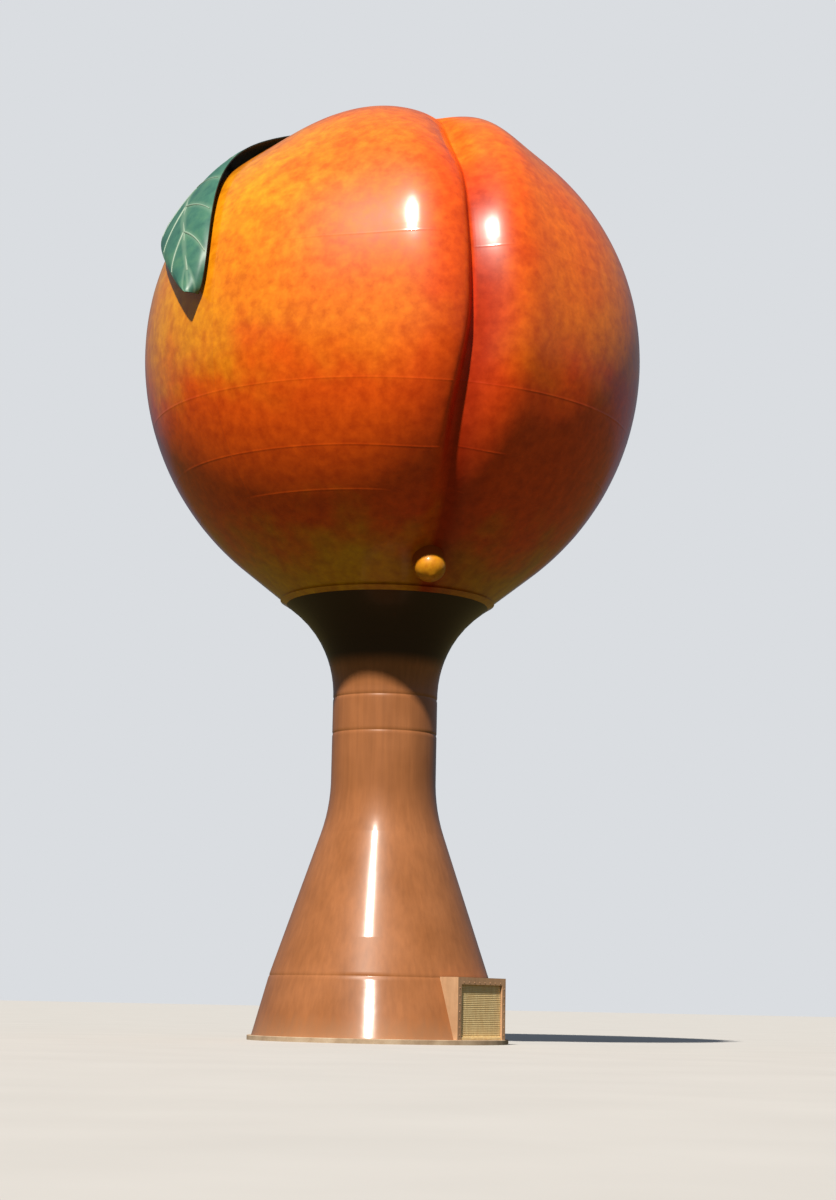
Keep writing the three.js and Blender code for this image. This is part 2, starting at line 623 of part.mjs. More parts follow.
// Pieces of the portal are drawn facing -Y and then turned to the portal's azimuth.
const facePortal = (geometry) => geometry.rotateZ(PORTAL_AZIMUTH);
const frameBack = PORTAL_FACE - PORTAL_PLATE + PORTAL_SET_BACK;
const roofUnderside = PORTAL_TOP - PORTAL_ROOF_PLATE;

// A side plate of the portal: its back edge follows the inside of the sloping wall.
function portalCheek(side) {
  const backAt = (height) => {
    const inner = pedestalRadius(height) - pedestalWallAcross(height);
    return Math.sqrt(inner ** 2 - PORTAL_HALF_WIDTH ** 2);
  };
  const bottom = CURB_HEIGHT + JOINT_GAP;
  const outline = new THREE.Shape([
    new THREE.Vector2(backAt(bottom), bottom),
    new THREE.Vector2(frameBack - JOINT_GAP, bottom),
    new THREE.Vector2(frameBack - JOINT_GAP, roofUnderside + 1),
    new THREE.Vector2(backAt(roofUnderside), roofUnderside + 1),
  ]);
  const plate = new THREE.ExtrudeGeometry(outline, { depth: PORTAL_PLATE, bevelEnabled: false });
  plate.rotateX(Math.PI / 2).rotateZ(-Math.PI / 2);
  const inside = PORTAL_HALF_WIDTH - PORTAL_PLATE;
  return weld(plate.translate(side > 0 ? PORTAL_HALF_WIDTH : -inside, 0, 0));
}

// The portal's flat roof, hollowed at the back to meet the foot of the cone.
function portalRoof() {
  const chord = (2 * Math.asin(PORTAL_HALF_WIDTH / KINK_RADIUS)) / PORTAL_ROOF_STEPS;
  const reach = (KINK_RADIUS + JOINT_GAP) / Math.cos(chord / 2);
  const turn = Math.asin(PORTAL_HALF_WIDTH / reach);
  const plan = new THREE.Shape();
  plan.moveTo(-PORTAL_HALF_WIDTH, -PORTAL_FACE);
  plan.lineTo(PORTAL_HALF_WIDTH, -PORTAL_FACE);
  plan.lineTo(PORTAL_HALF_WIDTH, -reach * Math.cos(turn));
  plan.absarc(0, 0, reach, -Math.PI / 2 + turn, -Math.PI / 2 - turn, true);
  plan.closePath();
  const slab = new THREE.ExtrudeGeometry(plan, {
    depth: PORTAL_ROOF_PLATE, curveSegments: PORTAL_ROOF_STEPS, bevelEnabled: false,
  });
  return weld(slab.translate(0, 0, roofUnderside));
}

function portalHood() {
  const cheeks = toSolid(portalCheek(1)).add(toSolid(portalCheek(-1)));
  return facePortal(fromSolid(cheeks.add(toSolid(portalRoof()))));
}

// The portal's front plate, with the doorway cut up from its foot.
function portalFrame() {
  const bottom = CURB_HEIGHT + JOINT_GAP;
  const top = roofUnderside - JOINT_GAP;
  const outline = new THREE.Shape([
    new THREE.Vector2(-PORTAL_HALF_WIDTH, bottom),
    new THREE.Vector2(-DOOR_HALF_WIDTH, bottom),
    new THREE.Vector2(-DOOR_HALF_WIDTH, DOOR_TOP),
    new THREE.Vector2(DOOR_HALF_WIDTH, DOOR_TOP),
    new THREE.Vector2(DOOR_HALF_WIDTH, bottom),
    new THREE.Vector2(PORTAL_HALF_WIDTH, bottom),
    new THREE.Vector2(PORTAL_HALF_WIDTH, top),
    new THREE.Vector2(-PORTAL_HALF_WIDTH, top),
  ]);
  const plate = new THREE.ExtrudeGeometry(outline, { depth: PORTAL_FACE - frameBack, bevelEnabled: false });
  return facePortal(weld(plate.rotateX(Math.PI / 2).translate(0, -frameBack, 0)));
}

// The closed roller shutter, in its guides behind the front plate.
function rollerShutter() {
  const bottom = CURB_HEIGHT + JOINT_GAP;
  const height = DOOR_TOP + SHUTTER_OVERLAP - bottom;
  const sheet = new THREE.BoxGeometry(2 * SHUTTER_HALF_WIDTH, SHUTTER_PLATE, height);
  const middle = frameBack - JOINT_GAP - SHUTTER_PLATE / 2;
  return facePortal(weld(sheet.translate(0, -middle, bottom + height / 2)));
}

// Concrete
addMesh('base_curb', turned([
  [CURB_INNER_RADIUS, 0],
  [CURB_OUTER_RADIUS, 0],
  [CURB_OUTER_RADIUS, CURB_HEIGHT],
  [CURB_INNER_RADIUS, CURB_HEIGHT],
  [CURB_INNER_RADIUS, 0],
]), materials.concrete);
addMesh('floor_slab', turned([
  [0, 0],
  [CURB_INNER_RADIUS - JOINT_GAP, 0],
  [CURB_INNER_RADIUS - JOINT_GAP, SLAB_HEIGHT],
  [0, SLAB_HEIGHT],
]), materials.concrete);

// Base course: it runs round from one side of the portal to the other.
const portalSide = (radius) => Math.asin((PORTAL_HALF_WIDTH + HALF_GAP) / radius);
const baseStart = (radius) => PORTAL_AZIMUTH + portalSide(radius);
const baseEnd = (radius) => PORTAL_AZIMUTH + 2 * Math.PI - portalSide(radius);
const baseSegmentEnd = (count) => (radius) => lerp(baseStart(radius), baseEnd(radius), count / WALL_SEGMENTS);
for (let i = 0; i < WALL_SEGMENTS; i += 1) {
  const segment = wallSegment(
    CURB_HEIGHT + HALF_GAP, KINK_HEIGHT, 1, 7, baseSegmentEnd(i), baseSegmentEnd(i + 1),
  );
  addMesh(`base_wall_${i + 1}`, segment, materials.brown);
}

// Cone, shaft and flare
for (let i = 0; i < WALL_SEGMENTS; i += 1) {
  const turn = (2 * Math.PI) / WALL_SEGMENTS;
  const columns = PEDESTAL_SIDES / WALL_SEGMENTS;
  const segment = wallSegment(KINK_HEIGHT, coneEnd.height, 1, columns, () => turn * i, () => turn * (i + 1));
  addMesh(`cone_wall_${i + 1}`, segment, materials.brown);
}
addMesh('shaft_lower', pedestalRing(coneEnd.height, SHAFT_SEAM_HEIGHT, 4), materials.brown);
addMesh('shaft_upper', pedestalRing(SHAFT_SEAM_HEIGHT, FLARE_SEAM_HEIGHT, 1), materials.brown);
addMesh('flare_lower', pedestalRing(FLARE_SEAM_HEIGHT, FLARE_MIDDLE_HEIGHT, 4), materials.brown);
addMesh('flare_upper', pedestalRing(FLARE_MIDDLE_HEIGHT, COLLAR_BOTTOM, 4), materials.brown);

// Collar and tank floor
const collarBottomRadius = pedestalRadius(COLLAR_BOTTOM) + COLLAR_STAND_OUT;
const collarTopRadius = pedestalRadius(COLLAR_TOP) + COLLAR_STAND_OUT;
const collarInnerRadius = collarBottomRadius - COLLAR_DEPTH;
addMesh('collar_ring', turned([
  [collarInnerRadius, COLLAR_BOTTOM + HALF_GAP],
  [collarBottomRadius, COLLAR_BOTTOM + HALF_GAP],
  [collarTopRadius, COLLAR_TOP - HALF_GAP],
  [collarInnerRadius, COLLAR_TOP - HALF_GAP],
  [collarInnerRadius, COLLAR_BOTTOM + HALF_GAP],
]), materials.peach);

// The tank's floor: a shallow dish that hangs by its flange from the top of the collar.
function tankFloor() {
  const dishRadius = collarInnerRadius - FLOOR_PLATE;
  const rim = COLLAR_TOP + HALF_GAP;
  const under = FLOOR_RINGS.map((part) => [dishRadius * part, rim - FLOOR_SAG * (1 - part ** 2)]);
  under.push([dishRadius + FLOOR_FLANGE, rim]);
  const over = under.map(([radius, height]) => [radius, height + FLOOR_PLATE]).reverse();
  return turned([...under, ...over]);
}
addMesh('tank_floor', tankFloor(), materials.brown);

// Tank
for (const [name, top, bottom] of courses) {
  for (let gore = 0; gore < GORES; gore += 1) {
    addMesh(`${name}_${gore + 1}`, tankPlate(gore, top, bottom), materials.peach);
  }
}
addMesh('stem_cavity', stemCavity(), materials.peach);
addMesh('blossom_tip', blossomTip(), materials.yellow);

// Stem and leaf
addMesh('stem', fromSolid(cutByTank(stemSolid(), new THREE.Vector3(0, 0, 1))), materials.stem);
addMesh('leaf_stalk', leafStalk(), materials.stem);
addMesh('leaf_blade', leafBlade(), materials.green);
addMesh('leaf_midrib', leafMidrib(), materials.midrib);
for (const [name, place] of Object.entries(BRACKET_PLACES)) {
  addMesh(`leaf_bracket_${name}`, leafBracket(place), materials.stem);
}

// Portal
addMesh('portal_hood', portalHood(), materials.tan);
addMesh('portal_frame', portalFrame(), materials.tan);
addMesh('roller_shutter', rollerShutter(), materials.tan);

export default tower;
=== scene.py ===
# %% [markdown]
# # A peach-shaped water tower, 1:2
# A welded steel tank stands on one flared steel pedestal. The tank is shaped like a peach: a round
# body with a cleft, a small blossom tip below, and a stem with one long leaf on top. The solid model
# gives every piece its place, so this lesson starts by loading it as a frame that never moves.

# %% Load the frame
import math

import bmesh
import bpy
import numpy as np
from mathutils import Matrix, Vector


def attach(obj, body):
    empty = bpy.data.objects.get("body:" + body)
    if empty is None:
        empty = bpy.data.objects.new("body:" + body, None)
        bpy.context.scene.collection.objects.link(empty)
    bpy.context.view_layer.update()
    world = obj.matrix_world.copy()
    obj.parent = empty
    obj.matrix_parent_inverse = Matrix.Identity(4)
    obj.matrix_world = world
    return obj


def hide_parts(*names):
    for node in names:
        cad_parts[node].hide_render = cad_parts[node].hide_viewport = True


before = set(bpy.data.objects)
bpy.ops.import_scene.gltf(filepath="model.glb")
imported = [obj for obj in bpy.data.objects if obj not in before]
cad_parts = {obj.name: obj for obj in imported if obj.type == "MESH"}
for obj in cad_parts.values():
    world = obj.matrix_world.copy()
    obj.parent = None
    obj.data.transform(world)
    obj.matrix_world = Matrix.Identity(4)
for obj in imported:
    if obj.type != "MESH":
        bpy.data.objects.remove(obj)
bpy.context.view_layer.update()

# %% [markdown]
# ## Sizes
# Every size below is in metres, for a tower taken to be 41.15 m tall. The photograph gives only its
# proportions. The model is half as large, so one function turns a real length into a model length.

# %% Scale
MODEL_SCALE = 0.5


def real(metres):
    """A length of the real tower, in model metres."""
    return metres * MODEL_SCALE


print("a real metre is", real(1), "m here")

# %% [markdown]
# ## Camera
# At that size the photograph fits a camera about 100 m away at eye height, tilted up at the tank. A
# long lens keeps the verticals nearly parallel. The tower stands a little left of the middle, and the
# camera was held slightly turned, so the tower leans by about one degree.

# %% Camera
CAMERA_DISTANCE = real(100)
EYE_HEIGHT = real(1.6)
TILT_UP = math.radians(9.93)
TURN_RIGHT = math.radians(0.77)
ROLL = math.radians(1.15)

scene = bpy.context.scene
camera_data = bpy.data.cameras.new("photo_camera")
camera_data.sensor_fit = "VERTICAL"
camera_data.sensor_height = 36
camera_data.lens = 69.3
camera_data.clip_end = 1000
camera = bpy.data.objects.new("photo_camera", camera_data)
camera.matrix_world = (
    Matrix.Translation((0, -CAMERA_DISTANCE, EYE_HEIGHT))
    @ Matrix.Rotation(-TURN_RIGHT, 4, "Z")
    @ Matrix.Rotation(math.pi / 2 + TILT_UP, 4, "X")
    @ Matrix.Rotation(ROLL, 4, "Z")
)
scene.collection.objects.link(camera)
scene.camera = camera
print("camera at", tuple(round(v, 2) for v in camera.matrix_world.translation))

# %% [markdown]
# ## Colour
# Paint colours are written as sRGB hex values, as on a colour card. Shaders work with linear light,
# so one function converts them. The Standard view keeps a painted orange as saturated as it is.

# %% Colour
scene.view_settings.view_transform = "Standard"


def colour(hex_value):
    """An sRGB hex value as a linear colour with alpha."""
    channels = [int(hex_value[i:i + 2], 16) / 255 for i in (1, 3, 5)]
    linear = [c / 12.92 if c <= 0.04045 else ((c + 0.055) / 1.055) ** 2.4 for c in channels]
    return (*linear, 1.0)


print("peach orange in linear light:", [round(c, 3) for c in colour("#F0761F")])

# %% [markdown]
# ## Adding shader nodes
# A material is a small graph. One function adds a node, sets it up and joins it to nodes made before:
# an input may be a number, a hex colour, a socket or a whole node, whose first output is then used.
# Inputs are given by name, or as a list in the order in which the node shows them. A stop of a ramp
# is a hex colour or a number, which makes a grey.

# %% Node helper
SMOOTH = {"interpolation_type": "SMOOTHSTEP"}


def add(tree, kind, inputs=None, stops=None, **settings):
    """Add a shader node with its settings, input values, links and ramp stops."""
    node = tree.nodes.new("ShaderNode" + kind)
    for name, value in settings.items():
        setattr(node, name, value)
    by_identifier = {socket.identifier: socket for socket in node.inputs}
    if isinstance(inputs, list):
        shown = [socket.identifier for socket in node.inputs if socket.enabled]
        inputs = dict(zip(shown, inputs))
    for name, value in (inputs or {}).items():
        socket = by_identifier.get(name) or node.inputs[name]
        if isinstance(value, str):
            value = colour(value)
        if isinstance(value, bpy.types.Node):
            value = next(output for output in value.outputs if output.enabled)
        if isinstance(value, bpy.types.NodeSocket):
            tree.links.new(value, socket)
        else:
            socket.default_value = value
    if stops:
        elements = node.color_ramp.elements
        elements.remove(elements[1])
        elements[0].position = stops[0][0]
        for position, _ in stops[1:]:
            elements.new(position)
        for element, (_, stop) in zip(elements, stops):
            stop = colour(stop) if isinstance(stop, str) else stop
            element.color = stop if isinstance(stop, tuple) else (stop, stop, stop, 1.0)
    return node


def new_material(name):
    """A material with an empty graph, its tree and its coordinates in the tower's frame."""
    material = bpy.data.materials.new(name)
    material.use_nodes = True
    tree = material.node_tree
    tree.nodes.clear()
    place = add(tree, "TexCoord").outputs["Object"]
    return material, tree, place


def over(tree, factor, under, upper):
    """One colour painted over another."""
    inputs = {"Factor_Float": factor, "A_Color": under, "B_Color": upper}
    return add(tree, "Mix", inputs, data_type="RGBA")


def finish_material(tree, inputs):
    """Join a Principled shader with these inputs to the material's output."""
    add(tree, "OutputMaterial", {"Surface": add(tree, "BsdfPrincipled", inputs)})


print("node helper ready")

# %% [markdown]
# ## Studio floor, background and light
# The tower is shown on a plain pale floor before a plain pale background. A pale floor of this size
# would light the tank too strongly from below, so the floor is only seen by the camera.

# %% Floor
floor_material, tree, place = new_material("pale_studio_floor")
speckle = add(tree, "TexNoise", {"Vector": place, "Scale": 0.4, "Detail": 4.0})
floor_tone = add(tree, "ValToRGB", {"Fac": speckle}, stops=[(0.3, "#C4C3C0"), (0.7, "#C9C8C5")])
finish_material(tree, {"Base Color": floor_tone, "Roughness": 0.9})

reach = 400.0
floor_mesh = bpy.data.meshes.new("studio_floor")
floor_corners = [(-reach, -reach, 0), (reach, -reach, 0), (reach, reach, 0), (-reach, reach, 0)]
floor_mesh.from_pydata(floor_corners, [], [(0, 1, 2, 3)])
floor_mesh.materials.append(floor_material)
floor = bpy.data.objects.new("studio_floor", floor_mesh)
floor.visible_diffuse = False
floor.visible_glossy = False
floor.visible_shadow = False
scene.collection.objects.link(floor)
print("floor", 2 * reach, "m across")

# %% [markdown]
# The surround has two halves: a weak cool light from above and a weak warm one from below. The camera
# sees an even pale backdrop instead of it.

# %% Surround
world = bpy.data.worlds.new("pale_surround")
world.use_nodes = True
world_tree = world.node_tree
world_tree.nodes.clear()
direction = add(world_tree, "SeparateXYZ", {"Vector": add(world_tree, "TexCoord").outputs["Generated"]})
upwards = add(world_tree, "MapRange", [direction.outputs["Z"], -0.06, 0.12], **SMOOTH)
from_below = add(world_tree, "Background", {"Color": "#B4A468", "Strength": 0.27})
from_above = add(world_tree, "Background", {"Color": "#BFD0E6", "Strength": 0.27})
surround = add(world_tree, "MixShader", {"Fac": upwards, "Shader": from_below, "Shader_001": from_above})
backdrop = add(world_tree, "Background", {"Color": "#DADDE1", "Strength": 1.0})
seen = add(world_tree, "LightPath").outputs["Is Camera Ray"]
surround = add(world_tree, "MixShader", {"Fac": seen, "Shader": surround, "Shader_001": backdrop})
add(world_tree, "OutputWorld", {"Surface": surround})
scene.world = world
print("surround ready")

# %% [markdown]
# The key lamp stands where the sun was: to the left of the camera, 48.5 degrees up, so that its glints
# fall on the same two ridges and the tank's shadow on the flare.

# %% Key lamp
KEY_AZIMUTH = math.radians(-17)
KEY_HEIGHT = math.radians(48.5)
towards_key = Vector((
    math.sin(KEY_AZIMUTH) * math.cos(KEY_HEIGHT),
    -math.cos(KEY_AZIMUTH) * math.cos(KEY_HEIGHT),
    math.sin(KEY_HEIGHT),
))
key_data = bpy.data.lights.new("key_lamp", "SUN")
key_data.energy = 5.4
key_data.angle = math.radians(2)
key_data.color = colour("#FFF6EA")[:3]
key_lamp = bpy.data.objects.new("key_lamp", key_data)
key_lamp.rotation_euler = towards_key.to_track_quat("Z", "Y").to_euler()
scene.collection.objects.link(key_lamp)
print("key lamp towards", tuple(round(v, 2) for v in towards_key))

# %% [markdown]
# ## Meshes made from formulas
# A rolled plate has two faces and four edges. A grid of points gives each face, and the edges close
# them, so every piece is one closed shell. Faces are smooth, and an edge sharper than 35 degrees
# stays crisp.

# %% Mesh helpers
def smoothstep(value, low, high):
    """0 below low, 1 above high, and a smooth step between."""
    t = np.clip((value - low) / (high - low), 0.0, 1.0)
    return t * t * (3.0 - 2.0 * t)


def bump(offset, width):
    """A bell of height 1."""
    return np.exp(-((offset / width) ** 2))


def on_axis(radius, azimuth, height):
    """Points at a radius and a height, turned about the axis. Azimuth 0 is -Y and 90 degrees is +X."""
    parts = np.broadcast_arrays(radius * np.sin(azimuth), -radius * np.cos(azimuth), height)
    return np.stack(parts, axis=-1)


def circle(count, radius):
    """Points of a circle about the origin."""
    turn = np.linspace(0, 2 * math.pi, count, endpoint=False)
    return np.stack([np.cos(turn), np.sin(turn)], axis=-1) * radius


def shell_faces(rows, columns, wrap=False, top_edge=True):
    """Faces of a closed plate: an outer grid, an inner grid and the edges that join them."""
    count = rows * columns
    outer = np.arange(count).reshape(rows, columns)
    if wrap:
        outer = np.hstack([outer, outer[:, :1]])
    inner = outer + count

    def quads(a, b, c, d):
        return np.stack([a.ravel(), b.ravel(), c.ravel(), d.ravel()], axis=1).tolist()

    faces = quads(outer[:-1, :-1], outer[:-1, 1:], outer[1:, 1:], outer[1:, :-1])
    faces += quads(inner[:-1, :-1], inner[1:, :-1], inner[1:, 1:], inner[:-1, 1:])
    faces += quads(outer[0, 1:], outer[0, :-1], inner[0, :-1], inner[0, 1:])
    if top_edge:
        faces += quads(outer[-1, :-1], outer[-1, 1:], inner[-1, 1:], inner[-1, :-1])
    if not wrap:
        faces += quads(outer[:-1, 0], outer[1:, 0], inner[1:, 0], inner[:-1, 0])
        faces += quads(outer[1:, -1], outer[:-1, -1], inner[:-1, -1], inner[1:, -1])
    return faces


def make_piece(name, vertices, faces, material, replaced=(), sharp=35):
    """A smooth mesh piece on the tower's body that stands for the named solids."""
    mesh = bpy.data.meshes.new(name)
    mesh.from_pydata(np.asarray(vertices).reshape(-1, 3).tolist(), [], faces)
    form = bmesh.new()
    form.from_mesh(mesh)
    bmesh.ops.remove_doubles(form, verts=form.verts, dist=1e-6)
    bmesh.ops.recalc_face_normals(form, faces=form.faces)
    form.to_mesh(mesh)
    form.free()
    mesh.polygons.foreach_set("use_smooth", [True] * len(mesh.polygons))
    mesh.set_sharp_from_angle(angle=math.radians(sharp))
    mesh.materials.append(material)
    piece = bpy.data.objects.new(name, mesh)
    scene.collection.objects.link(piece)
    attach(piece, "root")
    if replaced:
        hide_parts(*replaced)
    return piece


def shell_piece(name, outer, inner, material, slot, replaced=(), **edges):
    """A closed plate from its outer and inner grid of points."""
    rows, columns = outer.shape[:2]
    vertices = np.concatenate([outer.reshape(-1, 3), inner.reshape(-1, 3)])
    return make_piece(name, vertices, shell_faces(rows, columns, **edges), material, replaced)


def spaced(low, high, count, seams, offsets):
    """Even steps from low to high, with extra ones beside each seam that lies in that range."""
    values = set(np.linspace(low, high, count + 1).round(6))
    for seam in seams:
        for offset in offsets:
            for value in (seam - offset, seam + offset):
                if low <= value <= high:
                    values.add(round(value, 6))
    ordered = sorted(values)
    kept = [ordered[0]]
    for value in ordered[1:]:
        if value - kept[-1] > (high - low) * 1e-4:
            kept.append(value)
    kept[-1] = high
    return np.array(kept)


def repaint(name, paint):
    """Put one paint on a solid that stays as it is."""
    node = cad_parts[name]
    node.data.materials.clear()
    node.data.materials.append(paint)
    return node


print("mesh helpers ready")

# %% [markdown]
# ## Tank paint
# The real tank wears gloss enamel: an orange ground with the fruit's colours brushed and sprayed over
# it by hand. A red flush follows the cleft and spreads over its right side, yellow lies on the left
# shoulder and round the foot, the lower half is redder, and a sponge-like mottle covers it all.
# Gloss enamel is a clear binder over pigment: no metal, IOR near 1.5, and a sharp glint over a
# broader one. A coat layer gives the glint.

# %% Tank paint: where the cleft is
CLEFT_AZIMUTH = math.radians(16.6)
CLEFT_BENDS = real(np.array([(19, 24.5, -0.25), (24.5, 29.5, 0.46), (33, 38.5, 0.31), (39, 41.5, 0.33)]))
TANK_RADIUS = real(11.04)
TANK_CENTRE_HEIGHT = real(29.93)
across_cleft = np.array([math.cos(CLEFT_AZIMUTH), math.sin(CLEFT_AZIMUTH), 0.0])
cleft_facing = np.array([math.sin(CLEFT_AZIMUTH), -math.cos(CLEFT_AZIMUTH), 0.0])

tank_paint, tree, place = new_material("gloss_enamel_peach")
height = add(tree, "SeparateXYZ", {"Vector": place}).outputs["Z"]
shift = 0.0
for low, high, by in CLEFT_BENDS.tolist():
    bend = add(tree, "MapRange", [height, low, high, 0.0, by], **SMOOTH)
    shift = add(tree, "Math", [bend, shift], operation="ADD")
aside = add(tree, "VectorMath", [place, across_cleft], operation="DOT_PRODUCT")
from_cleft = add(tree, "Math", [aside.outputs["Value"], shift], operation="SUBTRACT")
facing = add(tree, "VectorMath", [place, cleft_facing], operation="DOT_PRODUCT")
cleft_side = add(tree, "MapRange", [facing.outputs["Value"], -0.1, real(5)], **SMOOTH)
print("cleft coordinates for the paint ready")

# %% [markdown]
# The flush is a ramp across the cleft: narrow on its left, wide on its right. A coarse noise pushes
# its outer edges to and fro, so that they look brushed, and leaves the crease itself in place.

# %% Tank paint: brush marks
BRUSH = real(2.4)
brush = add(tree, "TexNoise", {"Vector": place, "Scale": 1 / BRUSH, "Detail": 3.0, "Roughness": 0.5})
sway = add(tree, "MapRange", [brush, 0.3, 0.7, real(-1), real(1)])
apart = add(tree, "Math", [from_cleft], operation="ABSOLUTE")
freedom = add(tree, "MapRange", [apart, real(0.2), real(2)])
swayed = add(tree, "Math", [sway, freedom], operation="MULTIPLY")
flush_place = add(tree, "Math", [from_cleft, swayed], operation="ADD")
brushed_height = add(tree, "Math", [height, sway], operation="ADD")
print("brush marks", BRUSH, "m wide")

# %% [markdown]
# Each colour has a field that says where it lies: the lower half, the foot, the crown, the yellow left
# shoulder, the flush, the deep red beside the crease, and a brighter red in the crease itself, which
# is painted light that offsets the shade falling in the crease. A field comes from the place alone.

# %% Tank paint: fields by height and side
lower, foot = (
    add(tree, "MapRange", [brushed_height, real(start), real(end)], **SMOOTH)
    for start, end in [(29.5, 25.5), (22.0, 19.2)]
)
crown_span = add(tree, "MapRange", [brushed_height, real(28), real(38)])
crown = add(tree, "ValToRGB", {"Fac": crown_span}, stops=[(0.08, 0.0), (0.34, 1.0), (0.72, 1.0), (0.94, 0.2)])
left_side = add(tree, "MapRange", [from_cleft, real(1), real(-1)])
crown = add(tree, "Math", [crown, left_side], operation="MULTIPLY")
yellow_way = np.array([math.sin(math.radians(-62)), -math.cos(math.radians(-62)), 0.35])
yellow_side = add(tree, "VectorMath", [place, yellow_way], operation="DOT_PRODUCT")
yellow_side = add(tree, "Math", [yellow_side.outputs["Value"], sway], operation="ADD")
yellow_side = add(tree, "MapRange", [yellow_side, real(18), real(22.5)], **SMOOTH)
upper = add(tree, "Math", [1.0, lower], operation="SUBTRACT")
yellow_side = add(tree, "Math", [yellow_side, upper], operation="MULTIPLY")
print("four fields by height and side")

# %% Tank paint: fields across the cleft
flush_span = add(tree, "MapRange", [flush_place, real(-6), real(10)])
flush = add(
    tree, "ValToRGB", {"Fac": flush_span},
    stops=[
        (0.0, 0.0), (0.18, 0.1), (0.244, 0.45), (0.288, 0.75), (0.325, 0.95),
        (0.375, 1.0), (0.44, 0.9), (0.51, 0.6), (0.64, 0.5), (0.77, 0.3),
        (0.94, 0.12), (1.0, 0.05),
    ],
)
right_side = add(tree, "MapRange", [flush_place, real(-1.8), real(0.8)])
low_right = add(tree, "Math", [right_side, lower], operation="MULTIPLY")
flush = add(tree, "Math", [flush, low_right], operation="MAXIMUM")
flush = add(tree, "Math", [flush, cleft_side], operation="MULTIPLY")
paler = add(tree, "MapRange", [brushed_height, real(35.5), real(38.5), 1.0, 0.45], **SMOOTH)
flush = add(tree, "Math", [flush, paler], operation="MULTIPLY")
deep_span = add(tree, "MapRange", [from_cleft, real(-1), real(3)])
deep = add(
    tree, "ValToRGB", {"Fac": deep_span},
    stops=[
        (0.12, 0.0), (0.22, 0.2), (0.29, 0.85), (0.4, 0.85), (0.55, 0.45),
        (0.75, 0.12), (1.0, 0.0),
    ],
)
below_top = add(tree, "MapRange", [height, real(36.4), real(34.0)], **SMOOTH)
on_cleft = add(tree, "Math", [below_top, cleft_side], operation="MULTIPLY")
deep = add(tree, "Math", [deep, on_cleft], operation="MULTIPLY")
# Painted light: a brighter red than the deep red goes along the crease, to offset the shade that falls in it.
crease_place = add(tree, "Math", [from_cleft, real(0.15)], operation="ADD")
crease_apart = add(tree, "Math", [crease_place], operation="ABSOLUTE")
crease_painted_light = add(tree, "MapRange", [crease_apart, real(0.4), real(0.1), 0.0, 0.8], **SMOOTH)
crease_span = add(tree, "MapRange", [height, real(22), real(32)])
crease_light_fade = add(
    tree, "ValToRGB", {"Fac": crease_span},
    stops=[(0.0, 0.0), (0.09, 0.3), (0.23, 0.9), (0.85, 0.9), (1.0, 0.0)],
)
crease_painted_light = add(tree, "Math", [crease_painted_light, crease_light_fade], operation="MULTIPLY")
crease_painted_light = add(tree, "Math", [crease_painted_light, cleft_side], operation="MULTIPLY")
print("three fields across the cleft, none of them on the back")

# %% [markdown]
# The colours are laid over each other in the order of painting: ground, crown, lower half, yellow,
# flush, foot, deep red, and last a brighter red in the crease, which is painted light against its
# shade. A sponge print about half a metre across then darkens and reddens every colour in spots.

# %% Tank paint: layers
SPONGE = real(0.5)
ground = add(tree, "ValToRGB", {"Fac": brush}, stops=[(0.35, "#EE7608"), (0.65, "#F8840E")])
crown_ground = add(tree, "ValToRGB", {"Fac": brush}, stops=[(0.35, "#F0660A"), (0.65, "#F6700E")])
painted = over(tree, crown, ground, crown_ground)
painted = over(tree, lower, painted, "#F25802")
painted = over(tree, yellow_side, painted, "#EE9808")
painted = over(tree, flush, painted, over(tree, lower, "#EC5208", "#EE4C06"))
painted = over(tree, foot, painted, over(tree, flush, "#DEA008", "#C8820A"))
painted = over(tree, deep, painted, "#B22E0E")
# The crease's brighter red is painted light against the crease's shade.
painted = over(tree, crease_painted_light, painted, "#E8320A")
sponge = add(tree, "TexNoise", {"Vector": place, "Scale": 1 / SPONGE, "Detail": 4.0, "Roughness": 0.6})
print_tone = add(
    tree, "ValToRGB", {"Fac": sponge}, stops=[(0.32, (0.8, 0.68, 0.5, 1.0)), (0.68, (1.12, 1.22, 1.4, 1.0))],
)
mottled = add(tree, "VectorMath", [painted, print_tone], operation="MULTIPLY")
print("seven layers of colour and a sponge print", SPONGE, "m wide")

# %% [markdown]
# Enamel on large plates isn't flat: each plate is a little wavy, and the roller leaves a fine orange
# peel. The wave bends the highlights, and the peel, too fine to see from here, is drawn 60 mm wide.
# The deep red beside the crease shines more, and dirt takes the shine off the crease itself. The coat
# is drawn a little flatter in one band of height, which stretches the two glints upright.

# %% Tank paint: gloss
FLAT_BAND = real(29.3), real(36.3)
wave = add(tree, "TexNoise", {"Vector": place, "Scale": 1 / real(1.6), "Detail": 2.0})
waved = add(tree, "Bump", {"Height": wave, "Strength": 0.25, "Distance": real(0.03)})
glint_span = add(tree, "MapRange", [height, *FLAT_BAND, 0.0, 2 * math.pi])
flat_band = add(tree, "Math", [glint_span], operation="COSINE")
flatter = add(tree, "Bump", {"Height": flat_band, "Strength": 1.0, "Distance": real(0.05), "Normal": waved})
peel = add(tree, "TexNoise", {"Vector": place, "Scale": 1 / real(0.06), "Detail": 1.0})
peeled = add(tree, "Bump", {"Height": peel, "Strength": 0.12, "Distance": real(0.002), "Normal": waved})
dulled = add(tree, "MapRange", [sponge, 0.3, 0.7, 0.42, 0.5])
dulled = add(tree, "Mix", {"Factor_Float": deep, "A_Float": dulled, "B_Float": 0.3}, data_type="FLOAT")
worn = add(tree, "MapRange", [apart, real(0.3), real(1.0), 0.0, 0.75], **SMOOTH)
finish_material(tree, {
    "Base Color": mottled, "Roughness": dulled, "IOR": 1.5, "Specular IOR Level": 0.24, "Normal": peeled,
    "Coat Weight": worn, "Coat Roughness": 0.125, "Coat IOR": 1.5, "Coat Normal": flatter,
})
print("tank paint done")

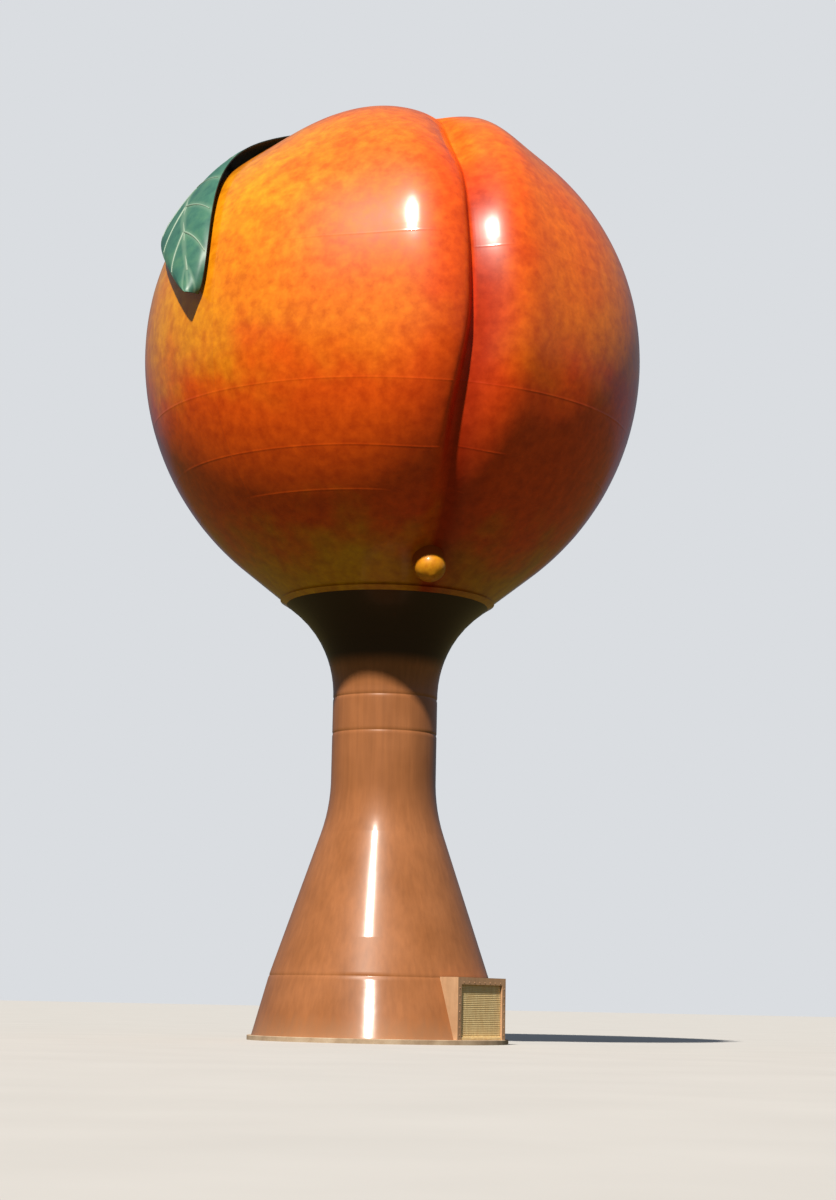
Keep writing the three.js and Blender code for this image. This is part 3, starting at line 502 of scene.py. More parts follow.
# %% [markdown]
# ## The tank's surface
# The solid model bends its plates by a formula, and the same formula in the same sizes gives the
# smooth skin here. The outline has two arcs. On it stand two ridges with the cleft between them, and
# at the top sits the hollow that holds the stem.

# %% Outline of the tank
LOWER_ARC_RADIUS = real(11.99)
BELLY_ANGLE = math.radians(82.5)
UNDERSIDE_ANGLE = math.radians(141.7)
COLLAR_BOTTOM = real(18.75)
COLLAR_TOP = real(18.95)
FLARE_SLOPE = UNDERSIDE_ANGLE - math.pi / 2
lower_centre_radius = (TANK_RADIUS - LOWER_ARC_RADIUS) * math.sin(BELLY_ANGLE)
lower_centre_height = TANK_CENTRE_HEIGHT + (TANK_RADIUS - LOWER_ARC_RADIUS) * math.cos(BELLY_ANGLE)
arc_end_radius = lower_centre_radius + LOWER_ARC_RADIUS * math.sin(UNDERSIDE_ANGLE)
arc_end_height = lower_centre_height + LOWER_ARC_RADIUS * math.cos(UNDERSIDE_ANGLE)
belly_distance = TANK_RADIUS * BELLY_ANGLE
underside_distance = belly_distance + LOWER_ARC_RADIUS * (UNDERSIDE_ANGLE - BELLY_ANGLE)
collar_distance = underside_distance + (arc_end_height - COLLAR_TOP) / math.cos(FLARE_SLOPE)


def distance_at(angle):
    """How far along the outline from the pole its normal has turned by an angle."""
    if angle < BELLY_ANGLE:
        return TANK_RADIUS * angle
    return belly_distance + LOWER_ARC_RADIUS * (angle - BELLY_ANGLE)


def tank_outline(distance):
    """Angle of the normal from straight up, radius and height at distances along the outline."""
    upper = distance / TANK_RADIUS
    lower = BELLY_ANGLE + (distance - belly_distance) / LOWER_ARC_RADIUS
    angle = np.where(distance < belly_distance, upper, np.minimum(lower, UNDERSIDE_ANGLE))
    past = np.maximum(distance - underside_distance, 0)
    on_upper = distance < belly_distance
    radius = np.where(
        on_upper, TANK_RADIUS * np.sin(angle),
        lower_centre_radius + LOWER_ARC_RADIUS * np.sin(angle) - past * math.sin(FLARE_SLOPE),
    )
    level = np.where(
        on_upper, TANK_CENTRE_HEIGHT + TANK_RADIUS * np.cos(angle),
        lower_centre_height + LOWER_ARC_RADIUS * np.cos(angle) - past * math.cos(FLARE_SLOPE),
    )
    return angle, radius, level


print("outline from the pole to the collar:", round(collar_distance, 3), "m")

# %% Cleft, ridges and hollow
CLEFT_ROOT = real(0.12)
CLEFT_DEPTH, SHALLOWER_AT_BELT = 1.05, 0.52
LEFT_BANK = (0.21, 2.73, 2.18, 0.7), (0.67, 1.18, 2.33, 1.03), 0.28
RIGHT_BANK = (0.37, 1.95, 1.45, 0.7), (0.43, 1.95, 1.5, 1.38), 1.07
CAVITY_DEPTH, CAVITY_RADIUS = real(1.3), real(1.7)
cavity_centre = across_cleft * CLEFT_BENDS[:, 2].sum()


def cleft_shift(level):
    """How far aside the cleft is at a height."""
    return sum(by * smoothstep(level, low, high) for low, high, by in CLEFT_BENDS)


def share(value, low, high, least):
    """From least to 1 as value goes from low to high."""
    return least + (1 - least) * smoothstep(value, low, high)


def bank(at_top, at_belt, foot, apart, belt):
    """One side of the cleft: the ridge on it, and how its valley fades with the distance.

    The ridge's height, distance and width, and the valley's width, change from the top to the belt.
    """
    tall, far, wide, valley = (real(top + (low - top) * belt) for top, low in zip(at_top, at_belt))
    ridge = tall * bump(apart - far, wide) * (1 - belt * bump(apart, real(foot)))
    return ridge, np.exp((CLEFT_ROOT - np.hypot(apart, CLEFT_ROOT)) / valley)


def relief(point, angle):
    """How far the skin stands out from the outline."""
    from_plane = point @ across_cleft - cleft_shift(point[..., 2])
    apart = np.abs(from_plane)
    degrees = np.degrees(angle)
    belt = smoothstep(degrees, 35, 70)
    left, right = (bank(*sizes, apart, belt) for sizes in (LEFT_BANK, RIGHT_BANK))
    crest, valley = np.where(from_plane < 0, left, right)
    valley = valley * real(CLEFT_DEPTH - SHALLOWER_AT_BELT * belt) * share(degrees, 13.4, 51.4, 0.15)
    valley = valley * (1 - 0.85 * smoothstep(degrees, 95, 135))
    crest = crest * smoothstep(degrees, 6, 20)
    crest = crest * (1 - 0.9 * smoothstep(degrees, 100, 140))
    side = smoothstep(point @ cleft_facing / TANK_RADIUS, 0, 0.2)
    from_stem = np.hypot(point[..., 0] - cavity_centre[0], point[..., 1] - cavity_centre[1])
    cavity = CAVITY_DEPTH * bump(from_stem, CAVITY_RADIUS)
    dip = real(0.2) * bump(from_plane + real(7.1), real(1.8))
    return side * (crest - valley) - smoothstep(np.cos(angle), 0.4, 0.8) * (cavity + dip)


def tank_points(column, distance, depth, lift=0.0):
    """Points of the tank's shell, at a depth behind its skin."""
    angle, radius, level = tank_outline(distance)
    least = np.maximum(radius, TANK_RADIUS * math.sin(math.radians(12)))
    bend = np.arcsin(np.clip(cleft_shift(level) / least, -0.5, 0.5))
    azimuth = CLEFT_AZIMUTH + column + bend * np.cos(column / 2) ** 2
    point = on_axis(radius, azimuth, level)
    outward = on_axis(np.sin(angle), azimuth, np.cos(angle))
    sideways = on_axis(1 / np.sin(np.maximum(angle, BELLY_ANGLE)), azimuth, 0.0)
    near_collar = smoothstep(distance, underside_distance, collar_distance)[..., None]
    point = point + outward * (relief(point, angle)[..., None] * (1 - near_collar))
    way = outward * (1 - near_collar) + sideways * near_collar
    return point - way * depth + outward * np.asarray(lift)[..., None]


print("hollow for the stem at", np.round(cavity_centre[:2], 3))

# %% [markdown]
# ## Tank plates
# The tank is welded from rolled plates in three courses of six. A weld stands a few millimetres
# proud, and the plates peak a little towards it, which is why a seam shows from far away as a thin
# light line. Each plate is modelled with its own thickness. Its grid is finer next to a seam, so
# that the weld is real geometry, and finer towards the cleft, where the skin turns sharply. The solid
# model's plates are flat between their corners, so the smooth skin is drawn in by their sag.

# %% Tank plates
TANK_WALL = real(0.08)
GORES = 6
GORE_WIDTH = 2 * math.pi / GORES
WELD_HALF_WIDTH = real(0.03)
WELD_HEIGHT = real(0.006)
PEAK_WIDTH = real(0.2)
PEAK_HEIGHT = real(0.003)
PAINTED_SKIN_DEPTH = real(0.042)
BESIDE_WELD = [0.0, real(0.015), real(0.03), real(0.09), real(0.18), real(0.32)]
COURSE_ANGLES = {"crown": (12, 62), "belt": (62, 107), "lower": (107, None)}
WELD_ANGLES = {78.2: 0.25, 107: 0.45, 120: 0.45, 129.4: 0.45}


def weld_lift(apart):
    """How far a weld and the plates beside it stand out, at a distance from its middle."""
    bead = WELD_HEIGHT * np.sqrt(np.clip(1 - (apart / WELD_HALF_WIDTH) ** 2, 0, 1))
    return bead + PEAK_HEIGHT * bump(apart, PEAK_WIDTH)


def gore_columns(gore):
    """Column positions of a gore: crowded towards the cleft, and beside both of its welds."""
    crowded = 1.8 if gore in (0, GORES - 1) else 1.0
    across = np.linspace(0, 1, 41 if crowded > 1 else 27) ** crowded
    if gore == GORES - 1:
        across = np.sort(1 - across)
    beside = np.array(BESIDE_WELD) / (GORE_WIDTH * real(9.5))
    return GORE_WIDTH * (gore + np.unique(np.concatenate([across, beside, 1 - beside]).round(5)))


def tank_plate(name, gore, top, bottom, replaced):
    """One rolled plate with its welds, between two distances from the pole."""
    welds = {distance_at(math.radians(angle)): size for angle, size in WELD_ANGLES.items()}
    seams = [*welds, collar_distance, top, bottom]
    rows = spaced(top, bottom, 30, seams, BESIDE_WELD)[::-1]
    columns = gore_columns(gore)
    column, distance = np.meshgrid(columns, rows)
    radius = tank_outline(distance)[1]
    from_side = np.minimum(column - columns[0], columns[-1] - column) * radius
    lift = 0.4 * weld_lift(from_side)
    for weld, size in welds.items():
        lift = np.maximum(lift, size * weld_lift(np.abs(distance - weld)))
    lift = lift * smoothstep(collar_distance - distance, 0, real(0.1))
    outer = tank_points(column, distance, PAINTED_SKIN_DEPTH, lift)
    inner = tank_points(column, distance, TANK_WALL)
    return shell_piece(name, outer, inner, tank_paint, "tank_paint", [replaced])


plates = 0
for course, (start, end) in COURSE_ANGLES.items():
    top = distance_at(math.radians(start))
    bottom = distance_at(math.radians(end)) if end else collar_distance
    for gore in range(GORES):
        node = f"tank_{course}_gore_{gore + 1}"
        tank_plate(f"{course}_plate_{gore + 1}", gore, top, bottom, node)
        plates += 1
print(plates, "tank plates")

# %% [markdown]
# ## The hollow round the stem
# The top of the tank is one dished plate inside the ring of crown plates. It is a disc of points bent
# by the same surface formula, so the cleft runs into it without a step.

# %% Crown dish
edge = distance_at(math.radians(12))
columns = np.unique(np.concatenate([gore_columns(gore)[:-1] for gore in range(GORES)]))
rows = spaced(0.0, edge, 20, [edge], BESIDE_WELD[:4])[::-1]
column, distance = np.meshgrid(columns, rows)
dish_lift = weld_lift(edge - distance) * smoothstep(distance, 0, edge / 2)
crown_dish = shell_piece(
    "crown_dish", tank_points(column, distance, PAINTED_SKIN_DEPTH, dish_lift),
    tank_points(column, distance, TANK_WALL), tank_paint, "tank_paint", ["stem_cavity"],
    wrap=True, top_edge=False,
)
print("crown dish faces:", len(crown_dish.data.polygons))

# %% [markdown]
# ## Pedestal paint
# The pedestal wears brown gloss enamel, rolled on. Rain and dust leave faint upright streaks, and
# the colour is a little uneven from plate to plate. Under the tank the flare is painted dark umber,
# which is painted shade: the shadow the tank casts on it. The welds pulled the base course and the
# foot of the cone out of line, which a few degrees of bump draw: the upright glint is bright on the
# cone, breaks above the base course and is bright again on it.

# %% Pedestal paint
STREAK = real(0.22)
pedestal_paint, tree, place = new_material("gloss_enamel_brown")
upright = add(tree, "Mapping", {"Vector": place, "Scale": (1.0, 1.0, 0.06)})
streaks = add(tree, "TexNoise", {"Vector": upright, "Scale": 1 / STREAK, "Detail": 3.0, "Roughness": 0.55})
patches = add(tree, "TexNoise", {"Vector": place, "Scale": 1 / real(2.6), "Detail": 3.0})
brown = add(tree, "ValToRGB", {"Fac": patches}, stops=[(0.35, "#996036"), (0.65, "#A86C41")])
streaked = add(tree, "MapRange", [streaks, 0.3, 0.7, 0.88, 1.06])
brown = add(tree, "VectorMath", {"Vector": brown, "Scale": streaked}, operation="SCALE")
level = add(tree, "SeparateXYZ", {"Vector": place}).outputs["Z"]
ragged = add(tree, "MapRange", {"Value": streaks, "To Min": real(-0.4), "To Max": real(0.4)})
splash = add(tree, "Math", [level, ragged], operation="ADD")
splash = add(tree, "MapRange", [splash, real(1.1), real(0.2), 0.0, 0.35])
dusty = over(tree, splash, brown, "#B28A68")
# Painted shade: the flare under the tank is darkened to a dark umber for the shadow the tank casts on it.
painted_tank_shadow = add(tree, "MapRange", [level, real(15.8), real(16.5)], **SMOOTH)
shaded = over(tree, painted_tank_shadow, dusty, "#35221C")
dulled = add(tree, "MapRange", [patches, 0.3, 0.7, 0.36, 0.44])
wave = add(tree, "TexNoise", {"Vector": place, "Scale": 1 / real(1.1), "Detail": 2.0})
waved = add(tree, "Bump", {"Height": wave, "Strength": 0.25, "Distance": real(0.02)})
lean_span = add(tree, "MapRange", {"Value": level, "From Max": real(12.5)})
lean = add(
    tree, "ValToRGB", {"Fac": lean_span},
    stops=[
        (0.016, 0.8), (0.216, 0.4), (0.344, 0.58), (0.66, 0.215), (0.76, 0.13),
        (0.88, 0.08), (1.0, 0.07),
    ],
)
turned_low = add(tree, "MapRange", [level, real(4.2), real(2.2), 0.0, 0.08])
sideways = add(tree, "SeparateXYZ", {"Vector": place}).outputs["X"]
sidelong = add(tree, "Math", [sideways, turned_low], operation="MULTIPLY")
lean = add(tree, "Math", [lean, sidelong], operation="ADD")
leaning = add(tree, "Bump", {"Height": lean, "Strength": 1.0, "Distance": real(1), "Normal": waved})
finish_material(tree, {
    "Base Color": shaded, "Roughness": dulled, "IOR": 1.5, "Specular IOR Level": 0.3, "Normal": waved,
    "Coat Weight": 0.3, "Coat Roughness": 0.15, "Coat IOR": 1.5, "Coat Normal": leaning,
})
print("pedestal paint done, streaks", STREAK, "m apart")

# %% [markdown]
# ## Pedestal
# The pedestal is a plate shell: a base course that leans in, a cone, an arc into the straight shaft,
# and an arc out into the flare that carries the tank. Its outer radius is one formula of the height,
# as in the solid model. From afar its level joints look like thin dark lines, so each is a groove
# between two courses, and the upright welds are ground nearly flush.

# %% Pedestal profile
BASE_RADIUS, KINK_RADIUS, KINK_HEIGHT = real(5.43), real(4.7), real(2.7)
SHAFT_RADIUS, SHAFT_BOTTOM = real(2.27), real(11.1)
FOOT_ARC, CONE_SLOPE, FLARE_ARC = real(7.3), math.radians(18.65), real(4.7)
SHAFT_SEAM, FLARE_SEAM, FLARE_MIDDLE = real(13.1), real(14.65), real(17.1)
PEDESTAL_WALL = real(0.1)
cone_end_radius = SHAFT_RADIUS + FOOT_ARC * (1 - math.cos(CONE_SLOPE))
cone_end_height = SHAFT_BOTTOM - FOOT_ARC * math.sin(CONE_SLOPE)
flare_end_radius = SHAFT_RADIUS + FLARE_ARC * (1 - math.cos(FLARE_SLOPE))
flare_end_height = arc_end_height - (arc_end_radius - flare_end_radius) / math.tan(FLARE_SLOPE)
shaft_top = flare_end_height - FLARE_ARC * math.sin(FLARE_SLOPE)


def pedestal_radius(level):
    """The pedestal's outer radius at heights."""
    drop = np.clip(SHAFT_BOTTOM - level, 0, FOOT_ARC)
    rise = np.clip(level - shaft_top, 0, FLARE_ARC * math.sin(FLARE_SLOPE))
    cone_rise = (level - KINK_HEIGHT) / (cone_end_height - KINK_HEIGHT)
    return np.select(
        [level < KINK_HEIGHT, level < cone_end_height, level < flare_end_height],
        [
            BASE_RADIUS + (KINK_RADIUS - BASE_RADIUS) * level / KINK_HEIGHT,
            KINK_RADIUS + (cone_end_radius - KINK_RADIUS) * cone_rise,
            SHAFT_RADIUS + FOOT_ARC - np.sqrt(FOOT_ARC ** 2 - drop ** 2)
            + FLARE_ARC - np.sqrt(FLARE_ARC ** 2 - rise ** 2),
        ],
        flare_end_radius + (level - flare_end_height) * math.tan(FLARE_SLOPE),
    )


def groove(apart):
    """How far a level joint between two courses is sunk, at a distance from its middle."""
    return real(0.022) * np.sqrt(np.clip(1 - (apart / real(0.04)) ** 2, 0, 1))


WELD_START = math.radians(28)


def course_skin(name, bottom, top, replaced, joints, upright_welds=4, ends=None):
    """A course of the pedestal with its level joints and upright welds, closed or with two ends."""
    heights = spaced(bottom, top, max(2, int((top - bottom) / real(0.35))), joints, BESIDE_WELD)
    middle = float(pedestal_radius(np.array((bottom + top) / 2)))
    start, end, radians = 0.0, 1.0, 2 * math.pi
    if ends is None:
        start, end, radians = WELD_START, WELD_START + 2 * math.pi, 1.0
    marks = np.linspace(start, end, upright_welds + 1)
    apart = [gap / middle / radians for gap in BESIDE_WELD]
    columns = spaced(start, end, 96, marks, apart)
    if ends is None:
        columns = columns[:-1]
    column, level = np.meshgrid(columns, heights)
    radius = pedestal_radius(level)
    slope = (pedestal_radius(level + 1e-4) - pedestal_radius(level - 1e-4)) / 2e-4
    azimuth = column if ends is None else ends(radius, column)
    lift = np.zeros_like(radius)
    for mark in marks:
        lift = np.maximum(lift, 0.3 * weld_lift(np.abs(column - mark) * radians * radius))
    if ends is not None:
        lift = lift * smoothstep(np.minimum(column, 1 - column), 0, 0.01)
    for joint in joints:
        lift = lift - groove(np.abs(level - joint))
    outer = on_axis(radius + lift, azimuth, level)
    inner = on_axis(radius - PEDESTAL_WALL * np.hypot(1, slope), azimuth, level)
    return shell_piece(name, outer, inner, pedestal_paint, "pedestal_paint", replaced, wrap=ends is None)


print("shaft runs from", round(SHAFT_BOTTOM, 2), "to", round(shaft_top, 2), "m")

# %% [markdown]
# The base course stops at the two sides of the portal, so its columns run from one side round to the
# other. The other courses are closed rings.

# %% Pedestal courses
PORTAL_AZIMUTH = math.radians(55)
PORTAL_HALF_WIDTH = real(1.83)
CURB_HEIGHT = real(0.2)


def beside_portal(radius, along):
    """Azimuths from one side of the portal, round the back, to its other side."""
    side = np.arcsin(PORTAL_HALF_WIDTH / radius)
    return PORTAL_AZIMUTH + side + (2 * math.pi - 2 * side) * along


course_skin(
    "base_course", CURB_HEIGHT, KINK_HEIGHT, [f"base_wall_{i}" for i in range(1, 5)],
    [KINK_HEIGHT], ends=beside_portal,
)
course_skin(
    "cone_course", KINK_HEIGHT, cone_end_height, [f"cone_wall_{i}" for i in range(1, 5)], [KINK_HEIGHT],
)
course_skin("shaft_course_lower", cone_end_height, SHAFT_SEAM, ["shaft_lower"], [SHAFT_SEAM])
course_skin("shaft_course_upper", SHAFT_SEAM, FLARE_SEAM, ["shaft_upper"], [SHAFT_SEAM, FLARE_SEAM])
course_skin("flare_course_lower", FLARE_SEAM, FLARE_MIDDLE, ["flare_lower"], [FLARE_SEAM], 6)
course_skin("flare_course_upper", FLARE_MIDDLE, COLLAR_BOTTOM, ["flare_upper"], [], 8)
print("six pedestal courses")

# %% [markdown]
# ## Turned pieces
# The collar, the concrete curb and the blossom tip are bodies of revolution. A profile of radius and
# height is turned about the axis, and a point on the axis stays one point.

# %% Turning helper
def turned(name, profile, sides, material, replaced=(), wobble=None, sharp=35, move=None):
    """A closed body turned from a profile that runs up its outside and ends where it started."""
    azimuths = np.linspace(0, 2 * math.pi, sides, endpoint=False)
    rings = []
    for ring_radius, ring_height in profile:
        radius = np.full(sides, float(ring_radius))
        if wobble:
            radius = radius * wobble(azimuths, ring_height)
        rings.append(on_axis(radius, azimuths, ring_height))
    vertices = np.array(rings).reshape(-1, 3)
    if move is not None:
        vertices = move(vertices)
    index = np.arange(len(profile) * sides).reshape(len(profile), sides)
    closed = profile[0][0] > 0 or profile[-1][0] > 0
    faces = []
    for row in range(len(profile) if closed else len(profile) - 1):
        below, above = index[row], index[(row + 1) % len(profile)]
        for side in range(sides):
            turn = (side + 1) % sides
            corners = [below[side], below[turn], above[turn], above[side]]
            if profile[row][0] == 0:
                corners = [below[0], above[turn], above[side]]
            elif profile[(row + 1) % len(profile)][0] == 0:
                corners = [below[side], below[turn], above[0]]
            faces.append([int(corner) for corner in corners])
    used = sorted({corner for face in faces for corner in face})
    renumbered = {corner: place for place, corner in enumerate(used)}
    faces = [[renumbered[corner] for corner in face] for face in faces]
    return make_piece(name, vertices[used], faces, material, replaced, sharp)


print("turning helper ready")

# %% [markdown]
# ## Collar
# Where the peach ends, a girder ring closes the tank and carries its floor. Its edge is rounded over
# and catches the light as a thin line above the brown flare.

# %% Collar
collar_low, collar_high = (pedestal_radius(np.array([COLLAR_BOTTOM, COLLAR_TOP])) + real(0.05)).tolist()
collar_inner = collar_low - real(0.5)
ease = real(0.03)
turned(
    "collar_girder",
    [
        (collar_inner, COLLAR_BOTTOM), (collar_low - ease, COLLAR_BOTTOM), (collar_low, COLLAR_BOTTOM + ease),
        (collar_high - ease / 2, COLLAR_TOP - ease), (collar_high - 2 * ease, COLLAR_TOP),
        (collar_inner, COLLAR_TOP),
    ],
    192, tank_paint, ["collar_ring"],
)
print("collar", round(2 * collar_high, 3), "m across")

# %% [markdown]
# ## Concrete
# A cast concrete curb carries the pedestal's wall. Cast concrete is pale grey-tan with a sandy grain,
# darker where splashes dry on it, and its arris is chamfered by the form.

# %% Concrete
concrete, tree, place = new_material("cast_concrete")
grain = add(tree, "TexNoise", {"Vector": place, "Scale": 1 / real(0.03), "Detail": 3.0})
cloud = add(tree, "TexNoise", {"Vector": place, "Scale": 1 / real(0.7), "Detail": 4.0})
concrete_tone = add(
    tree, "ValToRGB", {"Fac": cloud}, stops=[(0.3, "#A58C72"), (0.5, "#BEA68A"), (0.7, "#C9B59B")],
)
sanded = add(tree, "MapRange", [grain, 0.3, 0.7, 0.88, 1.08])
concrete_tone = add(tree, "VectorMath", {"Vector": concrete_tone, "Scale": sanded}, operation="SCALE")
pitted = add(tree, "Bump", {"Height": grain, "Strength": 0.4, "Distance": real(0.004)})
finish_material(tree, {"Base Color": concrete_tone, "Roughness": 0.88, "Normal": pitted})

CURB_OUTER, CURB_INNER = real(5.56), real(5.05)
chamfer = real(0.02)
turned(
    "cast_curb",
    [
        (CURB_INNER, 0), (CURB_OUTER, 0), (CURB_OUTER, CURB_HEIGHT - chamfer),
        (CURB_OUTER - chamfer, CURB_HEIGHT), (CURB_INNER, CURB_HEIGHT),
    ],
    192, concrete, ["base_curb"],
)
repaint("floor_slab", concrete)
repaint("tank_floor", pedestal_paint)
print("curb", 2 * CURB_OUTER, "m across")

# %% [markdown]
# ## Blossom tip
# Low on the front, where the cleft runs out, a yellow bump marks the fruit's blossom end. It stands
# out far enough to catch the sun that the tank's own belly keeps off the skin round it. It is turned
# as a rounded cone and then stood on the skin along the skin's own normal.

# %% Where the tip stands
TIP_AZIMUTH, TIP_HEIGHT = math.radians(16.4), real(19.88)
TIP_RADIUS, TIP_SIDE, TIP_CAP, TIP_POINT = real(0.66), real(0.5), real(0.62), real(0.04)
tip_distance = collar_distance - (TIP_HEIGHT - COLLAR_TOP) / math.cos(FLARE_SLOPE)
tip_angle, tip_radius, tip_level = (float(value) for value in tank_outline(np.array(tip_distance)))
tip_foot = on_axis(tip_radius, TIP_AZIMUTH, tip_level)
outward = on_axis(math.sin(tip_angle), TIP_AZIMUTH, math.cos(tip_angle))
print("blossom tip at height", round(tip_level, 3), "m")

# %% [markdown]
# The tip's rounded end is yellow, and its neck carries the brown of the skin round it. The distance
# along the tip's own axis tells the two apart.

# %% Yellow enamel
tip_paint, tree, place = new_material("gloss_enamel_yellow")
speck = add(tree, "TexNoise", {"Vector": place, "Scale": 1 / real(0.16), "Detail": 3.0})
yellow = add(tree, "ValToRGB", {"Fac": speck}, stops=[(0.3, "#CE800E"), (0.7, "#E29A18")])
along_axis = add(tree, "VectorMath", [place, outward], operation="DOT_PRODUCT")
neck_end = float(tip_foot @ outward) + real(0.4)
rounded_end = add(tree, "MapRange", [along_axis.outputs["Value"], neck_end, neck_end + real(0.2)])
yellow = over(tree, rounded_end, "#A04A0C", yellow)
uneven = add(tree, "Bump", {"Height": speck, "Strength": 0.2, "Distance": real(0.01)})
finish_material(tree, {
    "Base Color": yellow, "Roughness": 0.45, "IOR": 1.5, "Specular IOR Level": 0.3, "Normal": uneven,
    "Coat Weight": 0.3, "Coat Roughness": 0.15, "Coat IOR": 1.5,
})
print("tip paint done")


# %% Blossom tip
def stand(direction, foot):
    """A function that turns +Z to a direction and moves the origin to a point."""
    turn = np.array(Vector((0, 0, 1)).rotation_difference(Vector(direction)).to_matrix())
    return lambda vertices: vertices @ turn.T + np.array(foot)


profile = [(0.0, real(-0.12)), (TIP_RADIUS, real(-0.12)), (TIP_RADIUS, TIP_SIDE)]
for turn in np.linspace(0.08, 1.5, 14):
    sharper = TIP_POINT * smoothstep(turn, 1.1, math.pi / 2)
    profile.append((TIP_RADIUS * math.cos(turn), TIP_SIDE + TIP_CAP * math.sin(turn) + sharper))
profile.append((0.0, TIP_SIDE + TIP_CAP + TIP_POINT))
turned("blossom_bump", profile, 64, tip_paint, ["blossom_tip"], move=stand(outward, tip_foot))

# %% [markdown]
# ## Stem
# The stem is a steel post dressed and painted as wood. Bark is brown, matt and furrowed lengthwise,
# so the post's radius is worked over with a few sines round its girth, and a stretched noise gives
# the finer furrows.

# %% Bark paint
stem_paint, tree, place = new_material("matt_bark_paint")
upright = add(tree, "Mapping", {"Vector": place, "Scale": (1.0, 1.0, 0.15)})
furrows = add(tree, "TexNoise", {"Vector": upright, "Scale": 1 / real(0.05), "Detail": 4.0})
bark = add(
    tree, "ValToRGB", {"Fac": furrows}, stops=[(0.35, "#3B2413"), (0.55, "#5C3B20"), (0.75, "#7A5430")],
)
furrowed = add(tree, "Bump", {"Height": furrows, "Strength": 0.6, "Distance": real(0.02)})
finish_material(tree, {"Base Color": bark, "Roughness": 0.62, "IOR": 1.5, "Normal": furrowed})
print("bark paint done")

# %% Stem
STEM_RADIUS, STEM_TOP = real(0.32), real(41.15)
stem_foot = TANK_CENTRE_HEIGHT + TANK_RADIUS - CAVITY_DEPTH - real(0.2)
knots = [(0.0, 1.3), (real(0.7), 1.0), (STEM_TOP - real(0.08) - stem_foot, 1.13)]
rises = np.linspace(0, knots[-1][0], 22)
spread = np.interp(rises, [k[0] for k in knots], [k[1] for k in knots])
profile = [(0.0, stem_foot)] + [(STEM_RADIUS * s, stem_foot + r) for r, s in zip(rises, spread)]
profile += [(STEM_RADIUS * 1.02, STEM_TOP - real(0.02)), (STEM_RADIUS * 0.7, STEM_TOP)]
profile += [(STEM_RADIUS * 0.6, STEM_TOP - real(0.02)), (0.0, STEM_TOP - real(0.02))]


def bark_furrows(azimuths, level):
    """Round the girth: a few broad ribs that wander a little with the height."""
    wander = 3.0 * level
    return 0.955 + 0.03 * np.sin(7 * azimuths + wander) + 0.015 * np.sin(17 * azimuths - 2 * wander)


turned(
    "stem_post", profile, 96, stem_paint, ["stem"], wobble=bark_furrows,
    move=lambda vertices: vertices + cavity_centre,
)
print("stem", round(STEM_TOP - stem_foot, 3), "m tall")

# %% [markdown]
# ## Leaf
# The leaf is about 18 m of rolled plate that starts at the stem, bends over the left shoulder and
# hangs free of the skin. It is drawn on a sphere round the tank's centre: a curved midline, a width
# that swells and closes to a point, and a front edge that droops towards the skin.

# %% Leaf surface
LEAF_AZIMUTHS = np.radians([-159.5, -93.9, -53.4, -47])
LEAF_START_ANGLE, LEAF_END_ANGLE = math.radians(6.7), math.radians(87.5)
LEAF_PLATE, LEAF_STAND_OFF, LEAF_TIP_LIFT = real(0.1), real(0.34), real(0.16)
LEAF_TILTS, LEAF_CURLS = real(np.array([-0.415, 0.123, -0.262])), real(np.array([0.2, -0.1]))
tank_centre = np.array([0.0, 0.0, TANK_CENTRE_HEIGHT])
VEIN_PITCH, VEIN_SWEEP = 0.115, 0.11


def on_curve(guides, place):
    """A value on the smooth curve that a few guide values draw, at places from 0 to 1."""
    if len(guides) == 1:
        return guides[0]
    return on_curve([a + (b - a) * place for a, b in zip(guides, guides[1:])], place)


def leaf_direction(place):
    """The leaf's midline from the stem at 0 to the tip at 1, as directions from the tank's centre."""
    angle = LEAF_START_ANGLE + (LEAF_END_ANGLE - LEAF_START_ANGLE) * place
    return on_axis(np.sin(angle), on_curve(LEAF_AZIMUTHS, place), np.cos(angle))


def leaf_half_width(place):
    """Narrow at the stem, full in the middle and pointed at the tip."""
    swell = np.maximum(np.sin(math.pi * np.clip(place, 0, 1) ** 0.73), 0) ** 0.68
    return real(0.08) + real(2.47 - 0.08) * swell


def leaf_stand_off(place, across):
    """How far the underside is above the tank: it tilts and curls across, and lifts at the tip."""
    rise = smoothstep(place, -0.1, 0.25)
    twist = on_curve(LEAF_TILTS, place) * across + on_curve(LEAF_CURLS, place) * across ** 2
    return LEAF_STAND_OFF * (1.1 * rise - 0.1) + LEAF_TIP_LIFT * smoothstep(place, 0.6, 1) + twist * rise


def plate_thickness(across):
    """The leaf's plate thins towards its edge."""
    return LEAF_PLATE * (1 - 0.55 * across ** 6)


def leaf_points(place, across, out):
    """Points of the leaf: across runs from -1 to 1, and out is the distance above its underside."""
    middle = leaf_direction(place)
    along = leaf_direction(place + 0.01) - leaf_direction(place - 0.01)
    sideways = np.cross(middle, along)
    sideways /= np.linalg.norm(sideways, axis=-1, keepdims=True)
    turn = (across * leaf_half_width(place) / TANK_RADIUS)[..., None]
    direction = middle * np.cos(turn) + sideways * np.sin(turn)
    return direction * (TANK_RADIUS + leaf_stand_off(place, across) + out)[..., None] + tank_centre


print("leaf midline", round(float(np.linalg.norm(np.diff(
    leaf_points(np.linspace(0, 1, 200), np.zeros(200), np.zeros(200)), axis=0), axis=1).sum()), 2), "m long")

# %% [markdown]
# The leaf's upper side is painted a bluish green with paler bands where the side veins branch off,
# and the underside is nearly black. The paint follows the veins by two values stored on the mesh,
# the place along the leaf and the place across it.

